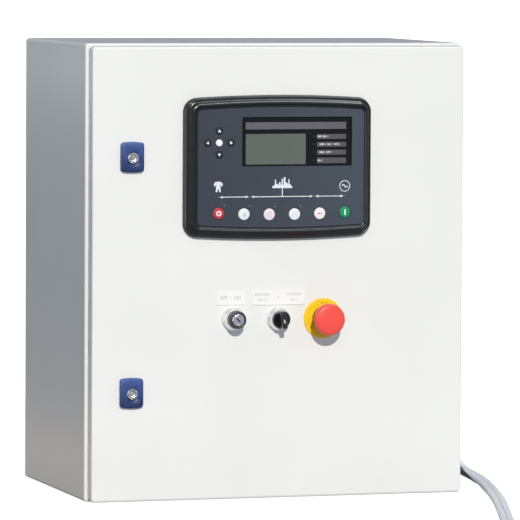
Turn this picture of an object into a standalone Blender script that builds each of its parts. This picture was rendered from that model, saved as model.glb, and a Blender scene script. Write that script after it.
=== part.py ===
"""Wall cabinet with a genset controller, key switch, selector and emergency stop on its door.

Metres, +Z up. The cabinet stands on its flat base with the origin at the middle of that base.
The door faces -Y and hangs on its right edge. Sheet steel pieces are lofts through closed loops,
round pieces are turned profiles, and rail-mounted pieces are extruded side outlines.
"""

import math

import bmesh
import bpy
from mathutils import Vector

# Clearance between pieces that rest on or in each other.
SEAT = 0.0003

# Cabinet body, folded and welded sheet.
CABINET_WIDTH = 0.500
CABINET_HEIGHT = 0.580
CABINET_DEPTH = 0.300
SHEET = 0.0015
FOLD_RADIUS = 0.0025
CORNER_RADIUS = 0.004
FLANGE_WIDTH = 0.024
LIP_LENGTH = 0.010
WALL_HOLE_RADIUS = 0.0045
WALL_HOLE_INSET = 0.035
GLAND_OPENING = (0.300, 0.090)
GLAND_OPENING_Y = 0.078
GLAND_PLATE_OVERLAP = 0.014
GLAND_PLATE_SHEET = 0.002

# Door, a folded pan.
DOOR_THICKNESS = 0.020
DOOR_GAP = 0.0035
DOOR_INSET_LOCK_SIDE = 0.004
DOOR_INSET_HINGE_SIDE = 0.002
DOOR_INSET_TOP = 0.004
DOOR_INSET_BOTTOM = 0.001
GASKET_WIDTH = 0.012

# Concealed hinges on the right edge.
HINGE_FROM_SIDE = 0.009
HINGE_FROM_BODY = 0.013
HINGE_FROM_END = 0.085
HINGE_LEAF_HALF_HEIGHT = 0.021
HINGE_BRACKET_HALF_HEIGHT = 0.0075
KNUCKLE_RADIUS = 0.0036
PIN_RADIUS = 0.0020
LEAF_SHEET = 0.0012

# Quarter-turn locks on the left edge.
LOCK_FROM_SIDE = 0.0556
LOCK_FROM_TOP = 0.1440
LOCK_FROM_BOTTOM = 0.1380
LOCK_PLATE = (0.0315, 0.0385)
LOCK_PLATE_BULGE = 0.0017
LOCK_PLATE_PROUD = 0.0058
LOCK_BARREL_RADIUS = 0.0105
LOCK_INSERT_RADIUS = 0.0075
LOCK_NUT_RADIUS = 0.0160
CAM_LENGTH = 0.040
CAM_WIDTH = 0.018
CAM_SHEET = 0.0025
CAM_SQUARE = 0.0070

# Controller, placed from the middle of the cabinet's base.
CONTROLLER_X = -0.0036
CONTROLLER_FROM_TOP = 0.1575
BEZEL_WIDTH = 0.2494
BEZEL_CORNER_HEIGHT = 0.1754
BEZEL_BULGE = 0.0045
BEZEL_CORNER_RADIUS = 0.0170
# The rim's height at shares of the way in from its edge to the fascia.
BEZEL_STEPS = (
    (0, 0.0048), (0.06, 0.0062), (0.18, 0.0069), (0.34, 0.0071), (0.50, 0.0090),
    (0.62, 0.0100), (0.72, 0.0098), (0.88, 0.0080), (1, 0.0071),
)
FASCIA_SIZE = (0.2208, 0.1454)
FASCIA_OFFSET = (0.0040, 0.0004)
FASCIA_BULGE = 0.0038
FASCIA_PROUD = 0.0068
FASCIA_SHEET = 0.0035
FASCIA_CORNER_RADIUS = 0.005
DISPLAY_SIZE = (0.1460, 0.0625)
DISPLAY_OFFSET = (0.0250, 0.0330)
CASE_SIZE = (0.2150, 0.1420)
CASE_BEHIND = 0.0400
CASE_CLEARANCE = 0.0020
KEY_TRAVEL_ROOM = 0.0010
KEY_PROUD = 0.0010
MODE_KEY_RADIUS = 0.0075
MODE_KEY_PITCH = 0.0336
MODE_KEY_OFFSET = (0.0051, -0.0595)
MODE_KEY_RISE = 0.0020
MODE_KEYS = ("key_stop", "key_manual", "key_test", "key_auto", "key_mute", "key_start")
ARROW_KEY_RADIUS = 0.0045
ARROW_KEY_PITCH = (0.0154, 0.0150)
ARROW_KEY_OFFSET = (-0.0784, 0.0318)
ARROW_KEYS = {
    "key_up": (0, 1),
    "key_down": (0, -1),
    "key_left": (-1, 0),
    "key_right": (1, 0),
    "key_enter": (0, 0),
}

# Three 22 mm devices in a row under the controller.
DEVICE_ROW_BELOW_CONTROLLER = 0.1929
DEVICE_HOLE_RADIUS = 0.01125
DEVICE_SHANK_RADIUS = 0.0109
DEVICE_SHANK_BEHIND = 0.0120
KEY_SWITCH_X = -0.0605
KEY_SWITCH_ABOVE_ROW = 0.0010
SELECTOR_X = -0.0005
ESTOP_X = 0.0590
RING_RADIUS = 0.0147
HEAD_RADIUS = 0.0116
RING_PROUD = 0.0125
KEY_SWITCH_PROUD = 0.0225
KEY_HEAD_RADIUS = 0.0112
KEY_BARREL_RADIUS = 0.0078
KEY_SLOT = (0.0024, 0.0090, 0.0060)
KEY_SLOT_DEG = 45.0
SELECTOR_HUB_PROUD = 0.0160
SELECTOR_GRIP = (0.0076, 0.0236)
SELECTOR_PROUD = 0.0270
SELECTOR_REST_DEG = 10.0
ESTOP_DISC_RADIUS = 0.0256
ESTOP_DISC_PROUD = 0.0024
ESTOP_COLLAR_RADIUS = 0.0150
ESTOP_COLLAR_PROUD = 0.0112
ESTOP_STEM_RADIUS = 0.0070
ESTOP_HEAD_RADIUS = 0.0200
ESTOP_HEAD_BACK = 0.0185
ESTOP_HEAD_PROUD = 0.0345
ESTOP_TRAVEL = 0.0060
CONTACT_BLOCK = (0.030, 0.044, 0.036)

# Engraved legend plates above the key switch and the selector.
LEGEND_SHEET = 0.0008
LEGEND_ABOVE_DEVICES = 0.0276
LEGENDS = {
    "key_switch_legend": (KEY_SWITCH_X - 0.0038, 0.0382, 0.0176),
    "selector_legend": (SELECTOR_X - 0.0004, 0.0700, 0.0193),
}

# Mounting plate and what stands on it.
PLATE_MARGIN = (0.025, 0.030)
PLATE_SHEET = 0.0020
PLATE_STANDOFF = 0.0285
STUD_INSET = (0.020, 0.020)
STUD_SHOULDER_RADIUS = 0.0075
STUD_RADIUS = 0.0040
STUD_LENGTH = 0.0120
RAIL_LENGTH = 0.300
RAIL_HEIGHT = 0.035
RAIL_DEPTH = 0.0075
RAIL_SHEET = 0.0010
RAIL_FROM_TOP = 0.190
BREAKER_FROM_RAIL_END = 0.060
BREAKER_WIDTH = 0.0534
BREAKER_PROFILE = ((0.0, 0.0425), (0.044, 0.0425), (0.044, 0.030), (0.050, 0.0225), (0.060, 0.0225))
TOGGLE_WIDTH = 0.0430
TOGGLE_HUB_RADIUS = 0.0060
TOGGLE_PIVOT_DEPTH = 0.0530
TOGGLE_LEVER = 0.0150
TOGGLE_REST_DEG = 35.0
RELAY_GAP = 0.0198
RELAY_WIDTH = 0.027
RELAY_PROFILE = (
    (0.0, 0.037), (0.016, 0.037), (0.024, 0.026), (0.028, 0.026), (0.028, 0.016),
    (0.062, 0.016), (0.064, 0.014),
)
CHARGER_X = 0.110
CHARGER_BELOW_RAIL = 0.170
CHARGER_SIZE = (0.095, 0.115, 0.052)
CHARGER_GROOVES = 6
CHARGER_GROOVE_PITCH = 0.008
STRIP_X = -0.090
STRIP_BELOW_RAIL = 0.190
STRIP_WAYS = 12
STRIP_PITCH = 0.013
STRIP_SIZE = (0.032, 0.022)
STRIP_BARRIER = 0.0025

# Cable gland low in the right wall, and two cables through it.
GLAND_FROM_BACK = 0.035
GLAND_Z = 0.034
GLAND_HOLE_RADIUS = 0.0128
GLAND_THREAD_RADIUS = 0.0124
GLAND_HEX_RADIUS = 0.0173
GLAND_HEX_LENGTH = 0.0080
DOME_NUT_RADIUS = 0.0165
DOME_NUT_LENGTH = 0.0180
LOCKNUT_RADIUS = 0.0180
LOCKNUT_HEIGHT = 0.0060
CABLE_RADIUS = 0.00425
CABLE_SPACING = 0.0091
CABLE_POINT_STEP = 0.0225
COIL_RADIUS = 0.0475
COIL_SECTION = 0.0088
COIL_HEIGHT = 0.0178

# The cables' routes are for a gland here, and move along with it.
ROUTE_GLAND = (0.250, 0.115)
# The middle of the cable pair from the gland to beyond the door, and how far the pair has
# turned from one above the other (0) to side by side (1).
PAIR_ROUTE = (
    ((0.2780, 0.1150, 0.0340), 0.00),
    ((0.2860, 0.1150, 0.0339), 0.00),
    ((0.2985, 0.1128, 0.0322), 0.08),
    ((0.3098, 0.1060, 0.0287), 0.22),
    ((0.3182, 0.0955, 0.0238), 0.40),
    ((0.3233, 0.0825, 0.0181), 0.58),
    ((0.3256, 0.0688, 0.0127), 0.76),
    ((0.3260, 0.0550, 0.0083), 0.90),
    ((0.3254, 0.0415, 0.0057), 0.98),
    ((0.3243, 0.0280, 0.0047), 1.00),
    ((0.3217, 0.0023, 0.0045), 1.00),
    ((0.3145, -0.0475, 0.0045), 1.00),
    ((0.3023, -0.1096, 0.0045), 1.00),
    ((0.2909, -0.1566, 0.0045), 1.00),
    ((0.2786, -0.2060, 0.0045), 1.00),
    ((0.2560, -0.2894, 0.0045), 1.00),
    ((0.2260, -0.3882, 0.0045), 1.00),
    ((0.1930, -0.4922, 0.0045), 1.00),
    ((0.1812, -0.5290, 0.0045), 1.00),
)
# Each cable alone after that: its route on the floor, its coil's middle, and the direction in
# which it runs onto the coil.
CABLES = {
    "outer": {
        "side": 1,
        "tail": ((0.1800, -0.5560), (0.1900, -0.5780), (0.2080, -0.5890), (0.2300, -0.5905)),
        "coil": (0.3050, -0.5386),
        "heading": (1.0, 0.0),
    },
    "inner": {
        "side": -1,
        "tail": ((0.1690, -0.5560), (0.1640, -0.5850)),
        "coil": (0.2140, -0.6560),
        "heading": (0.0, -1.0),
    },
}

FRONT = -CABINET_DEPTH / 2
BACK = CABINET_DEPTH / 2
DOOR_FRONT = FRONT - DOOR_THICKNESS
DOOR_REAR = FRONT - DOOR_GAP
PLATE_SIZE = (CABINET_WIDTH - 2 * PLATE_MARGIN[0], CABINET_HEIGHT - 2 * PLATE_MARGIN[1])
PLATE_FRONT = BACK - SHEET - PLATE_STANDOFF - PLATE_SHEET
GLAND_Y = BACK - GLAND_FROM_BACK
CABLE_SHIFT = Vector((CABINET_WIDTH / 2 - ROUTE_GLAND[0], GLAND_Y - ROUTE_GLAND[1], 0))
HINGE_X = CABINET_WIDTH / 2 - HINGE_FROM_SIDE
HINGE_Y = FRONT - HINGE_FROM_BODY
LOCK_X = -CABINET_WIDTH / 2 + LOCK_FROM_SIDE
LOCK_HEIGHTS = {"upper": CABINET_HEIGHT - LOCK_FROM_TOP, "lower": LOCK_FROM_BOTTOM}
CONTROLLER_Z = CABINET_HEIGHT - CONTROLLER_FROM_TOP
DEVICE_ROW_HEIGHT = CONTROLLER_Z - DEVICE_ROW_BELOW_CONTROLLER
CASE_FRONT = FASCIA_PROUD - FASCIA_SHEET - SEAT
DEVICES = {
    "key_switch": (KEY_SWITCH_X, DEVICE_ROW_HEIGHT + KEY_SWITCH_ABOVE_ROW),
    "selector": (SELECTOR_X, DEVICE_ROW_HEIGHT),
    "estop": (ESTOP_X, DEVICE_ROW_HEIGHT),
}

# Colour (linear RGB), roughness and metallic value of each finish.
LIGHT_GREY_PAINT = ((0.80, 0.81, 0.80), 0.38, 0.0)
GALVANISED = ((0.60, 0.61, 0.62), 0.42, 0.9)
ZINC = ((0.66, 0.65, 0.60), 0.32, 0.95)
CHROME = ((0.78, 0.78, 0.79), 0.12, 1.0)
BLACK_RUBBER = ((0.02, 0.02, 0.02), 0.75, 0.0)
BLUE_PLASTIC = ((0.03, 0.07, 0.30), 0.35, 0.0)
BLACK_PLASTIC = ((0.015, 0.016, 0.020), 0.30, 0.0)
FASCIA_GREY = ((0.065, 0.085, 0.105), 0.50, 0.0)
DISPLAY_BLACK = ((0.012, 0.011, 0.012), 0.10, 0.0)
WHITE_PLASTIC = ((0.85, 0.85, 0.86), 0.40, 0.0)
RED_PLASTIC = ((0.80, 0.06, 0.05), 0.38, 0.0)
GREEN_PLASTIC = ((0.02, 0.28, 0.13), 0.40, 0.0)
YELLOW_PLASTIC = ((0.95, 0.75, 0.01), 0.40, 0.0)
GREY_PLASTIC = ((0.42, 0.43, 0.44), 0.50, 0.0)
CABLE_GREY = ((0.52, 0.54, 0.57), 0.50, 0.0)
KEY_FINISHES = {
    "key_stop": RED_PLASTIC, "key_start": GREEN_PLASTIC, "key_up": FASCIA_GREY,
    "key_down": FASCIA_GREY, "key_left": FASCIA_GREY, "key_right": FASCIA_GREY,
}


# Building blocks


def loft(loops, closed=False):
    """A solid through loops of one count: capped at both ends, or joined last to first."""
    shape = bmesh.new()
    rows = [[shape.verts.new(point) for point in loop] for loop in loops]
    pairs = list(zip(rows, rows[1:]))
    if closed:
        pairs.append((rows[-1], rows[0]))
    for near, far in pairs:
        for i, corner in enumerate(near):
            j = (i + 1) % len(near)
            shape.faces.new((corner, near[j], far[j], far[i]))
    if not closed:
        shape.faces.new(rows[0][::-1])
        shape.faces.new(rows[-1])
    return shape


def merged(shapes):
    """Several solids as one mesh, for a tool that cuts or joins in many places."""
    whole = bmesh.new()
    for shape in shapes:
        mesh = bpy.data.meshes.new("part")
        shape.to_mesh(mesh)
        shape.free()
        whole.from_mesh(mesh)
        bpy.data.meshes.remove(mesh)
    return whole


def turned(profile, centre, axis, segments=24, closed=False):
    """A turned solid: profile is (radius, distance along axis from centre)."""
    axis = Vector(axis)
    across = Vector((0, 0, 1)) if abs(axis.z) < 0.5 else Vector((1, 0, 0))
    other = axis.cross(across)
    loops = []
    for radius, along in profile:
        loop = []
        for i in range(segments):
            angle = 2 * math.pi * i / segments
            out = across * math.cos(angle) + other * math.sin(angle)
            loop.append(Vector(centre) + axis * along + out * radius)
        loops.append(loop)
    return loft(loops, closed)


def box(low, high):
    """A block between two corners."""
    (x0, y0, z0), (x1, y1, z1) = low, high
    foot = [(x0, y0, z0), (x1, y0, z0), (x1, y1, z0), (x0, y1, z0)]
    return loft([foot, [(x, y, z1) for x, y, _ in foot]])


def extruded_x(outline, x0, x1):
    """A side outline of (y, z) points, drawn out along X."""
    return loft([[(x, y, z) for y, z in outline] for x in (x0, x1)])


def extruded_y(outline, y0, y1):
    """A front outline of (x, z) points, drawn out along Y."""
    return loft([[(x, y, z) for x, z in outline] for y in (y0, y1)])


def extruded_z(outline, z0, z1):
    """A plan outline of (x, y) points, drawn out along Z."""
    return loft([[(x, y, z) for x, y in outline] for z in (z0, z1)])


def arc(centre, radius, start, end, steps):
    """Points on an arc from one angle to another, in degrees."""
    angles = [math.radians(start + (end - start) * i / steps) for i in range(steps + 1)]
    return [(centre[0] + radius * math.cos(a), centre[1] + radius * math.sin(a)) for a in angles]


def rounded_outline(left, right, bottom, top, radius, steps=3):
    """A rectangle with round corners, anticlockwise from its right lower corner."""
    corners = (
        ((right - radius, bottom + radius), -90),
        ((right - radius, top - radius), 0),
        ((left + radius, top - radius), 90),
        ((left + radius, bottom + radius), 180),
    )
    outline = []
    for centre, start in corners:
        outline += arc(centre, radius, start, start + 90, steps)
    return outline


def bulged_outline(width, height, bulge, radius, centre, steps=4, across=10):
    """A rounded rectangle whose top and bottom edges are shallow arcs."""
    plain = rounded_outline(-width / 2, width / 2, -height / 2, height / 2, radius, steps)
    outline = []
    for x, z in subdivided(plain, steps, across):
        swell = bulge * (1 - (2 * x / width) ** 2) * (2 * z / height)
        outline.append((centre[0] + x, centre[1] + z + swell))
    return outline


def subdivided(outline, steps, across):
    """A rounded rectangle's outline with extra points along its top and bottom."""
    finer = []
    for i, point in enumerate(outline):
        finer.append(point)
        after = outline[(i + 1) % len(outline)]
        if i in (2 * steps + 1, 4 * steps + 3):
            for k in range(1, across):
                finer.append((point[0] + (after[0] - point[0]) * k / across, point[1]))
    return finer


def bar_outline(centre, width, length, lean):
    """A plain bar, leaning by some degrees, its lower end to the right."""
    angle = math.radians(lean)
    along, across = (math.sin(angle), -math.cos(angle)), (math.cos(angle), math.sin(angle))
    return [
        (centre[0] + along[0] * a * length / 2 + across[0] * b * width / 2,
         centre[1] + along[1] * a * length / 2 + across[1] * b * width / 2)
        for a, b in ((1, -1), (1, 1), (-1, 1), (-1, -1))
    ]


def smooth_route(points, step):
    """Points along a smooth curve through the given ones, about a step apart."""
    points = [Vector(p) for p in points]
    ends = [2 * points[0] - points[1], *points, 2 * points[-1] - points[-2]]
    fine = [points[0]]
    for before, start, end, after in zip(ends, ends[1:], ends[2:], ends[3:]):
        for i in range(1, 13):
            t = i / 12
            fine.append(
                0.5 * (2 * start + (end - before) * t
                       + (2 * before - 5 * start + 4 * end - after) * t * t
                       + (3 * start - before - 3 * end + after) * t ** 3)
            )
    length = sum((b - a).length for a, b in zip(fine, fine[1:]))
    count = max(2, round(length / step))
    spaced, walked, goal = [fine[0]], 0.0, length / count
    for a, b in zip(fine, fine[1:]):
        hop = (b - a).length
        while walked + hop >= goal and len(spaced) < count:
            spaced.append(a + (b - a) * ((goal - walked) / hop))
            goal += length / count
        walked += hop
    return [*spaced, fine[-1]]


PLACES = {}


def body(name, place, parent=None):
    """An empty on a joint's axis, which carries the pieces that move together."""
    empty = bpy.data.objects.new(name, None)
    bpy.context.collection.objects.link(empty)
    empty.parent = parent
    carried = PLACES[parent.name] if parent else Vector()
    empty.location = Vector(place) - carried
    empty.empty_display_size = 0.02
    PLACES[name] = Vector(place)
    return empty


def piece(name, shape, finish, on=None, sharp=32):
    """An object of its own finish, with its origin on the axis of what carries it."""
    bmesh.ops.recalc_face_normals(shape, faces=shape.faces)
    place = PLACES[on.name] if on else Vector()
    bmesh.ops.translate(shape, verts=shape.verts, vec=-place)
    mesh = bpy.data.meshes.new(name)
    shape.to_mesh(mesh)
    shape.free()
    mesh.shade_smooth()
    mesh.set_sharp_from_angle(angle=math.radians(sharp))
    mesh.materials.append(material(name, finish))
    made = bpy.data.objects.new(name, mesh)
    bpy.context.collection.objects.link(made)
    made.parent = on
    return made


def material(name, finish):
    """A Principled finish of its own for one piece."""
    colour, roughness, metallic = finish
    made = bpy.data.materials.new(name + "_finish")
    made.use_nodes = True
    shader = made.node_tree.nodes["Principled BSDF"]
    shader.inputs["Base Color"].default_value = (*colour, 1.0)
    shader.inputs["Roughness"].default_value = roughness
    shader.inputs["Metallic"].default_value = metallic
    return made


def shaped_by(target, name, shape, operation="DIFFERENCE"):
    """Cuts a tool's shape from a piece, or joins it on."""
    tool = piece(f"{target.name}_{name}", shape, GREY_PLASTIC, target.parent)
    tool.hide_render = True
    tool.display_type = "WIRE"
    modifier = target.modifiers.new(name, "BOOLEAN")
    modifier.operation = operation
    modifier.object = tool


def on_door(x, z, out=0.0):
    """A point in front of the door's face, or behind it where out is negative."""
    return Vector((x, DOOR_FRONT - out, z))


OUTWARD = (0, -1, 0)


# Cabinet body


def body_loop(inset, y):
    radius = max(CORNER_RADIUS - inset, SHEET / 3)
    outline = rounded_outline(
        -CABINET_WIDTH / 2 + inset, CABINET_WIDTH / 2 - inset, inset, CABINET_HEIGHT - inset, radius
    )
    return [(x, y, z) for x, z in outline]


def plate_corners(inset_x, inset_z):
    """The four places near a centred plate's corners, as (x, z)."""
    middle = CABINET_HEIGHT / 2
    half_x, half_z = PLATE_SIZE[0] / 2 - inset_x, PLATE_SIZE[1] / 2 - inset_z
    return [(sx * half_x, middle + sz * half_z) for sx in (-1, 1) for sz in (-1, 1)]


def wall_hole_places():
    half_x = CABINET_WIDTH / 2 - WALL_HOLE_INSET
    return [
        (sx * half_x, z)
        for sx in (-1, 1)
        for z in (WALL_HOLE_INSET, CABINET_HEIGHT - WALL_HOLE_INSET)
    ]


def build_cabinet():
    eased = 0.3 * FOLD_RADIUS
    inner = FLANGE_WIDTH + SHEET
    shell = piece(
        "cabinet_body",
        loft([
            body_loop(FOLD_RADIUS, BACK),
            body_loop(eased, BACK - eased),
            body_loop(0, BACK - FOLD_RADIUS),
            body_loop(0, FRONT + FOLD_RADIUS),
            body_loop(eased, FRONT + eased),
            body_loop(FOLD_RADIUS, FRONT),
            body_loop(FLANGE_WIDTH, FRONT),
            body_loop(FLANGE_WIDTH, FRONT - LIP_LENGTH),
            body_loop(inner, FRONT - LIP_LENGTH),
            body_loop(inner, FRONT + SHEET),
            body_loop(SHEET, FRONT + SHEET),
            body_loop(SHEET, BACK - SHEET),
        ]),
        LIGHT_GREY_PAINT,
    )
    studs = [
        turned(
            [
                (STUD_SHOULDER_RADIUS, -SHEET / 2),
                (STUD_SHOULDER_RADIUS, PLATE_STANDOFF - SEAT),
                (STUD_RADIUS, PLATE_STANDOFF - SEAT),
                (STUD_RADIUS, PLATE_STANDOFF + STUD_LENGTH),
            ],
            (x, BACK - SHEET, z), OUTWARD, 12,
        )
        for x, z in plate_corners(*STUD_INSET)
    ]
    shaped_by(shell, "studs", merged(studs), "UNION")
    holes = [
        turned([(WALL_HOLE_RADIUS, -0.01), (WALL_HOLE_RADIUS, 0.01)], (x, BACK, z), OUTWARD, 16)
        for x, z in wall_hole_places()
    ]
    shaped_by(shell, "wall_holes", merged(holes))
    half_x, half_y = GLAND_OPENING[0] / 2, GLAND_OPENING[1] / 2
    opening = box(
        (-half_x, GLAND_OPENING_Y - half_y, -0.01),
        (half_x, GLAND_OPENING_Y + half_y, SHEET + 0.001),
    )
    shaped_by(shell, "base_opening", opening)
    gland_hole = turned(
        [(GLAND_HOLE_RADIUS, -0.01), (GLAND_HOLE_RADIUS, 0.01)],
        (CABINET_WIDTH / 2, GLAND_Y, GLAND_Z), (1, 0, 0), 24,
    )
    shaped_by(shell, "gland_hole", gland_hole)

    half_x += GLAND_PLATE_OVERLAP
    half_y += GLAND_PLATE_OVERLAP
    outline = rounded_outline(
        -half_x, half_x, GLAND_OPENING_Y - half_y, GLAND_OPENING_Y + half_y, 0.006
    )
    low = SHEET + SEAT
    piece("gland_plate", extruded_z(outline, low, low + GLAND_PLATE_SHEET), GALVANISED)


def build_mounting_plate():
    middle = CABINET_HEIGHT / 2
    outline = rounded_outline(
        -PLATE_SIZE[0] / 2, PLATE_SIZE[0] / 2, middle - PLATE_SIZE[1] / 2,
        middle + PLATE_SIZE[1] / 2, 0.010, 2,
    )
    plate = piece(
        "mounting_plate", extruded_y(outline, PLATE_FRONT, PLATE_FRONT + PLATE_SHEET), GALVANISED
    )
    clear = STUD_RADIUS + SEAT * 2
    places = plate_corners(*STUD_INSET)
    holes = [
        turned([(clear, -0.01), (clear, 0.01)], (x, PLATE_FRONT, z), OUTWARD, 12)
        for x, z in places
    ]
    shaped_by(plate, "stud_holes", merged(holes))


# Hinges


def hinge_heights():
    return {"upper": CABINET_HEIGHT - HINGE_FROM_END, "lower": HINGE_FROM_END}


def build_hinge_brackets():
    edge, arm_left, arm_right, base_sheet = 0.0120, 0.0084, 0.0048, 0.0020
    knee = FRONT - 0.6 * HINGE_FROM_BODY
    outline = [
        (HINGE_X - edge, FRONT - SEAT),
        (HINGE_X - edge, FRONT - SEAT - base_sheet),
        (HINGE_X - arm_left, FRONT - SEAT - base_sheet),
        (HINGE_X - arm_left, knee),
        *arc((HINGE_X, HINGE_Y), KNUCKLE_RADIUS, 205, 490, 12),
        (HINGE_X - arm_right, knee),
        (HINGE_X - arm_right, FRONT - SEAT - base_sheet),
        (HINGE_X - 0.0010, FRONT - SEAT - base_sheet),
        (HINGE_X - 0.0010, FRONT - SEAT),
    ]
    half, top, bore = HINGE_BRACKET_HALF_HEIGHT, HINGE_LEAF_HALF_HEIGHT, PIN_RADIUS + SEAT
    for name, z in hinge_heights().items():
        bracket = piece(
            f"hinge_bracket_{name}", extruded_z(outline, z - half, z + half), ZINC
        )
        at = (HINGE_X, HINGE_Y, z)
        shaped_by(bracket, "bore", turned([(bore, -0.02), (bore, 0.02)], at, (0, 0, 1), 16))
        pin = [
            (PIN_RADIUS * 0.6, -top), (PIN_RADIUS, -top + 0.001), (PIN_RADIUS, top - SEAT),
            (PIN_RADIUS * 1.6, top - SEAT), (PIN_RADIUS * 1.6, top + 0.001),
        ]
        piece(f"hinge_pin_{name}", turned(pin, at, (0, 0, 1), 16), ZINC)


def build_hinge_leaves(door):
    back = DOOR_FRONT + SHEET + SEAT
    half = HINGE_LEAF_HALF_HEIGHT
    low, high = HINGE_BRACKET_HALF_HEIGHT + SEAT * 2, half - SEAT * 3
    left, right = HINGE_X - 0.0080, HINGE_X + 0.0045
    saddle = [
        (HINGE_X - KNUCKLE_RADIUS, back + LEAF_SHEET / 2),
        (HINGE_X + KNUCKLE_RADIUS, back + LEAF_SHEET / 2),
        *arc((HINGE_X, HINGE_Y), KNUCKLE_RADIUS, 0, 180, 8),
    ]
    bore = PIN_RADIUS + SEAT
    for name, z in hinge_heights().items():
        plate = box((left, back, z - half), (right, back + LEAF_SHEET, z + half))
        leaf = piece(f"hinge_leaf_{name}", plate, ZINC, door)
        knuckles = [
            extruded_z(saddle, z + low, z + high), extruded_z(saddle, z - high, z - low)
        ]
        shaped_by(leaf, "knuckles", merged(knuckles), "UNION")
        at = (HINGE_X, HINGE_Y, z)
        shaped_by(leaf, "bores", turned([(bore, -0.03), (bore, 0.03)], at, (0, 0, 1), 16))


# Door


def door_loop(inset, y):
    radius = max(CORNER_RADIUS - inset, SHEET / 3)
    outline = rounded_outline(
        -CABINET_WIDTH / 2 + DOOR_INSET_LOCK_SIDE + inset,
        CABINET_WIDTH / 2 - DOOR_INSET_HINGE_SIDE - inset,
        DOOR_INSET_BOTTOM + inset,
        CABINET_HEIGHT - DOOR_INSET_TOP - inset,
        radius,
    )
    return [(x, y, z) for x, z in outline]


def build_door(door):
    eased = 0.3 * FOLD_RADIUS
    panel = piece(
        "door_panel",
        loft([
            door_loop(FOLD_RADIUS, DOOR_FRONT),
            door_loop(eased, DOOR_FRONT + eased),
            door_loop(0, DOOR_FRONT + FOLD_RADIUS),
            door_loop(0, DOOR_REAR),
            door_loop(SHEET, DOOR_REAR),
            door_loop(SHEET, DOOR_FRONT + SHEET),
        ]),
        LIGHT_GREY_PAINT,
        door,
    )
    case_x, case_z = CASE_SIZE[0] / 2 + CASE_CLEARANCE, CASE_SIZE[1] / 2 + CASE_CLEARANCE
    middle_x, middle_z = fascia_centre()
    cutout = rounded_outline(
        middle_x - case_x, middle_x + case_x, middle_z - case_z, middle_z + case_z, 0.003, 2
    )
    shaped_by(panel, "controller_cutout",
              extruded_y(cutout, DOOR_FRONT - 0.01, DOOR_FRONT + SHEET + 0.003))
    rounds = [(x, z, DEVICE_HOLE_RADIUS) for x, z in DEVICES.values()]
    rounds += [(LOCK_X, z, LOCK_BARREL_RADIUS + SEAT) for z in LOCK_HEIGHTS.values()]
    holes = [
        turned([(radius, 0.01), (radius, -SHEET - 0.003)], on_door(x, z), OUTWARD, 24)
        for x, z, radius in rounds
    ]
    shaped_by(panel, "device_holes", merged(holes))
    half = HINGE_BRACKET_HALF_HEIGHT + 0.0025
    edge = CABINET_WIDTH / 2 - DOOR_INSET_HINGE_SIDE
    notches = [
        box((edge - 2 * SHEET, DOOR_FRONT + SHEET + 0.0010, z - half),
            (edge + 0.002, DOOR_REAR + 0.002, z + half))
        for z in hinge_heights().values()
    ]
    shaped_by(panel, "hinge_notches", merged(notches))

    line = FLANGE_WIDTH + SHEET / 2
    wide, narrow = line - GASKET_WIDTH / 2, line + GASKET_WIDTH / 2
    rear = FRONT - LIP_LENGTH - SEAT
    front = DOOR_FRONT + SHEET + SEAT
    piece(
        "door_gasket",
        loft([
            body_loop(wide, front), body_loop(wide, rear - 0.003), body_loop(wide + 0.003, rear),
            body_loop(narrow - 0.003, rear), body_loop(narrow, rear - 0.003),
            body_loop(narrow, front),
        ], closed=True),
        BLACK_RUBBER, door,
    )
    z = DEVICE_ROW_HEIGHT + LEGEND_ABOVE_DEVICES
    for name, (x, width, height) in LEGENDS.items():
        outline = rounded_outline(
            x - width / 2, x + width / 2, z - height / 2, z + height / 2, 0.0012, 2
        )
        near = DOOR_FRONT - SEAT
        piece(name, extruded_y(outline, near, near - LEGEND_SHEET), WHITE_PLASTIC, door)


# Locks


def build_locks(door):
    for name, z in LOCK_HEIGHTS.items():
        build_lock(door, name, z)


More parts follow.
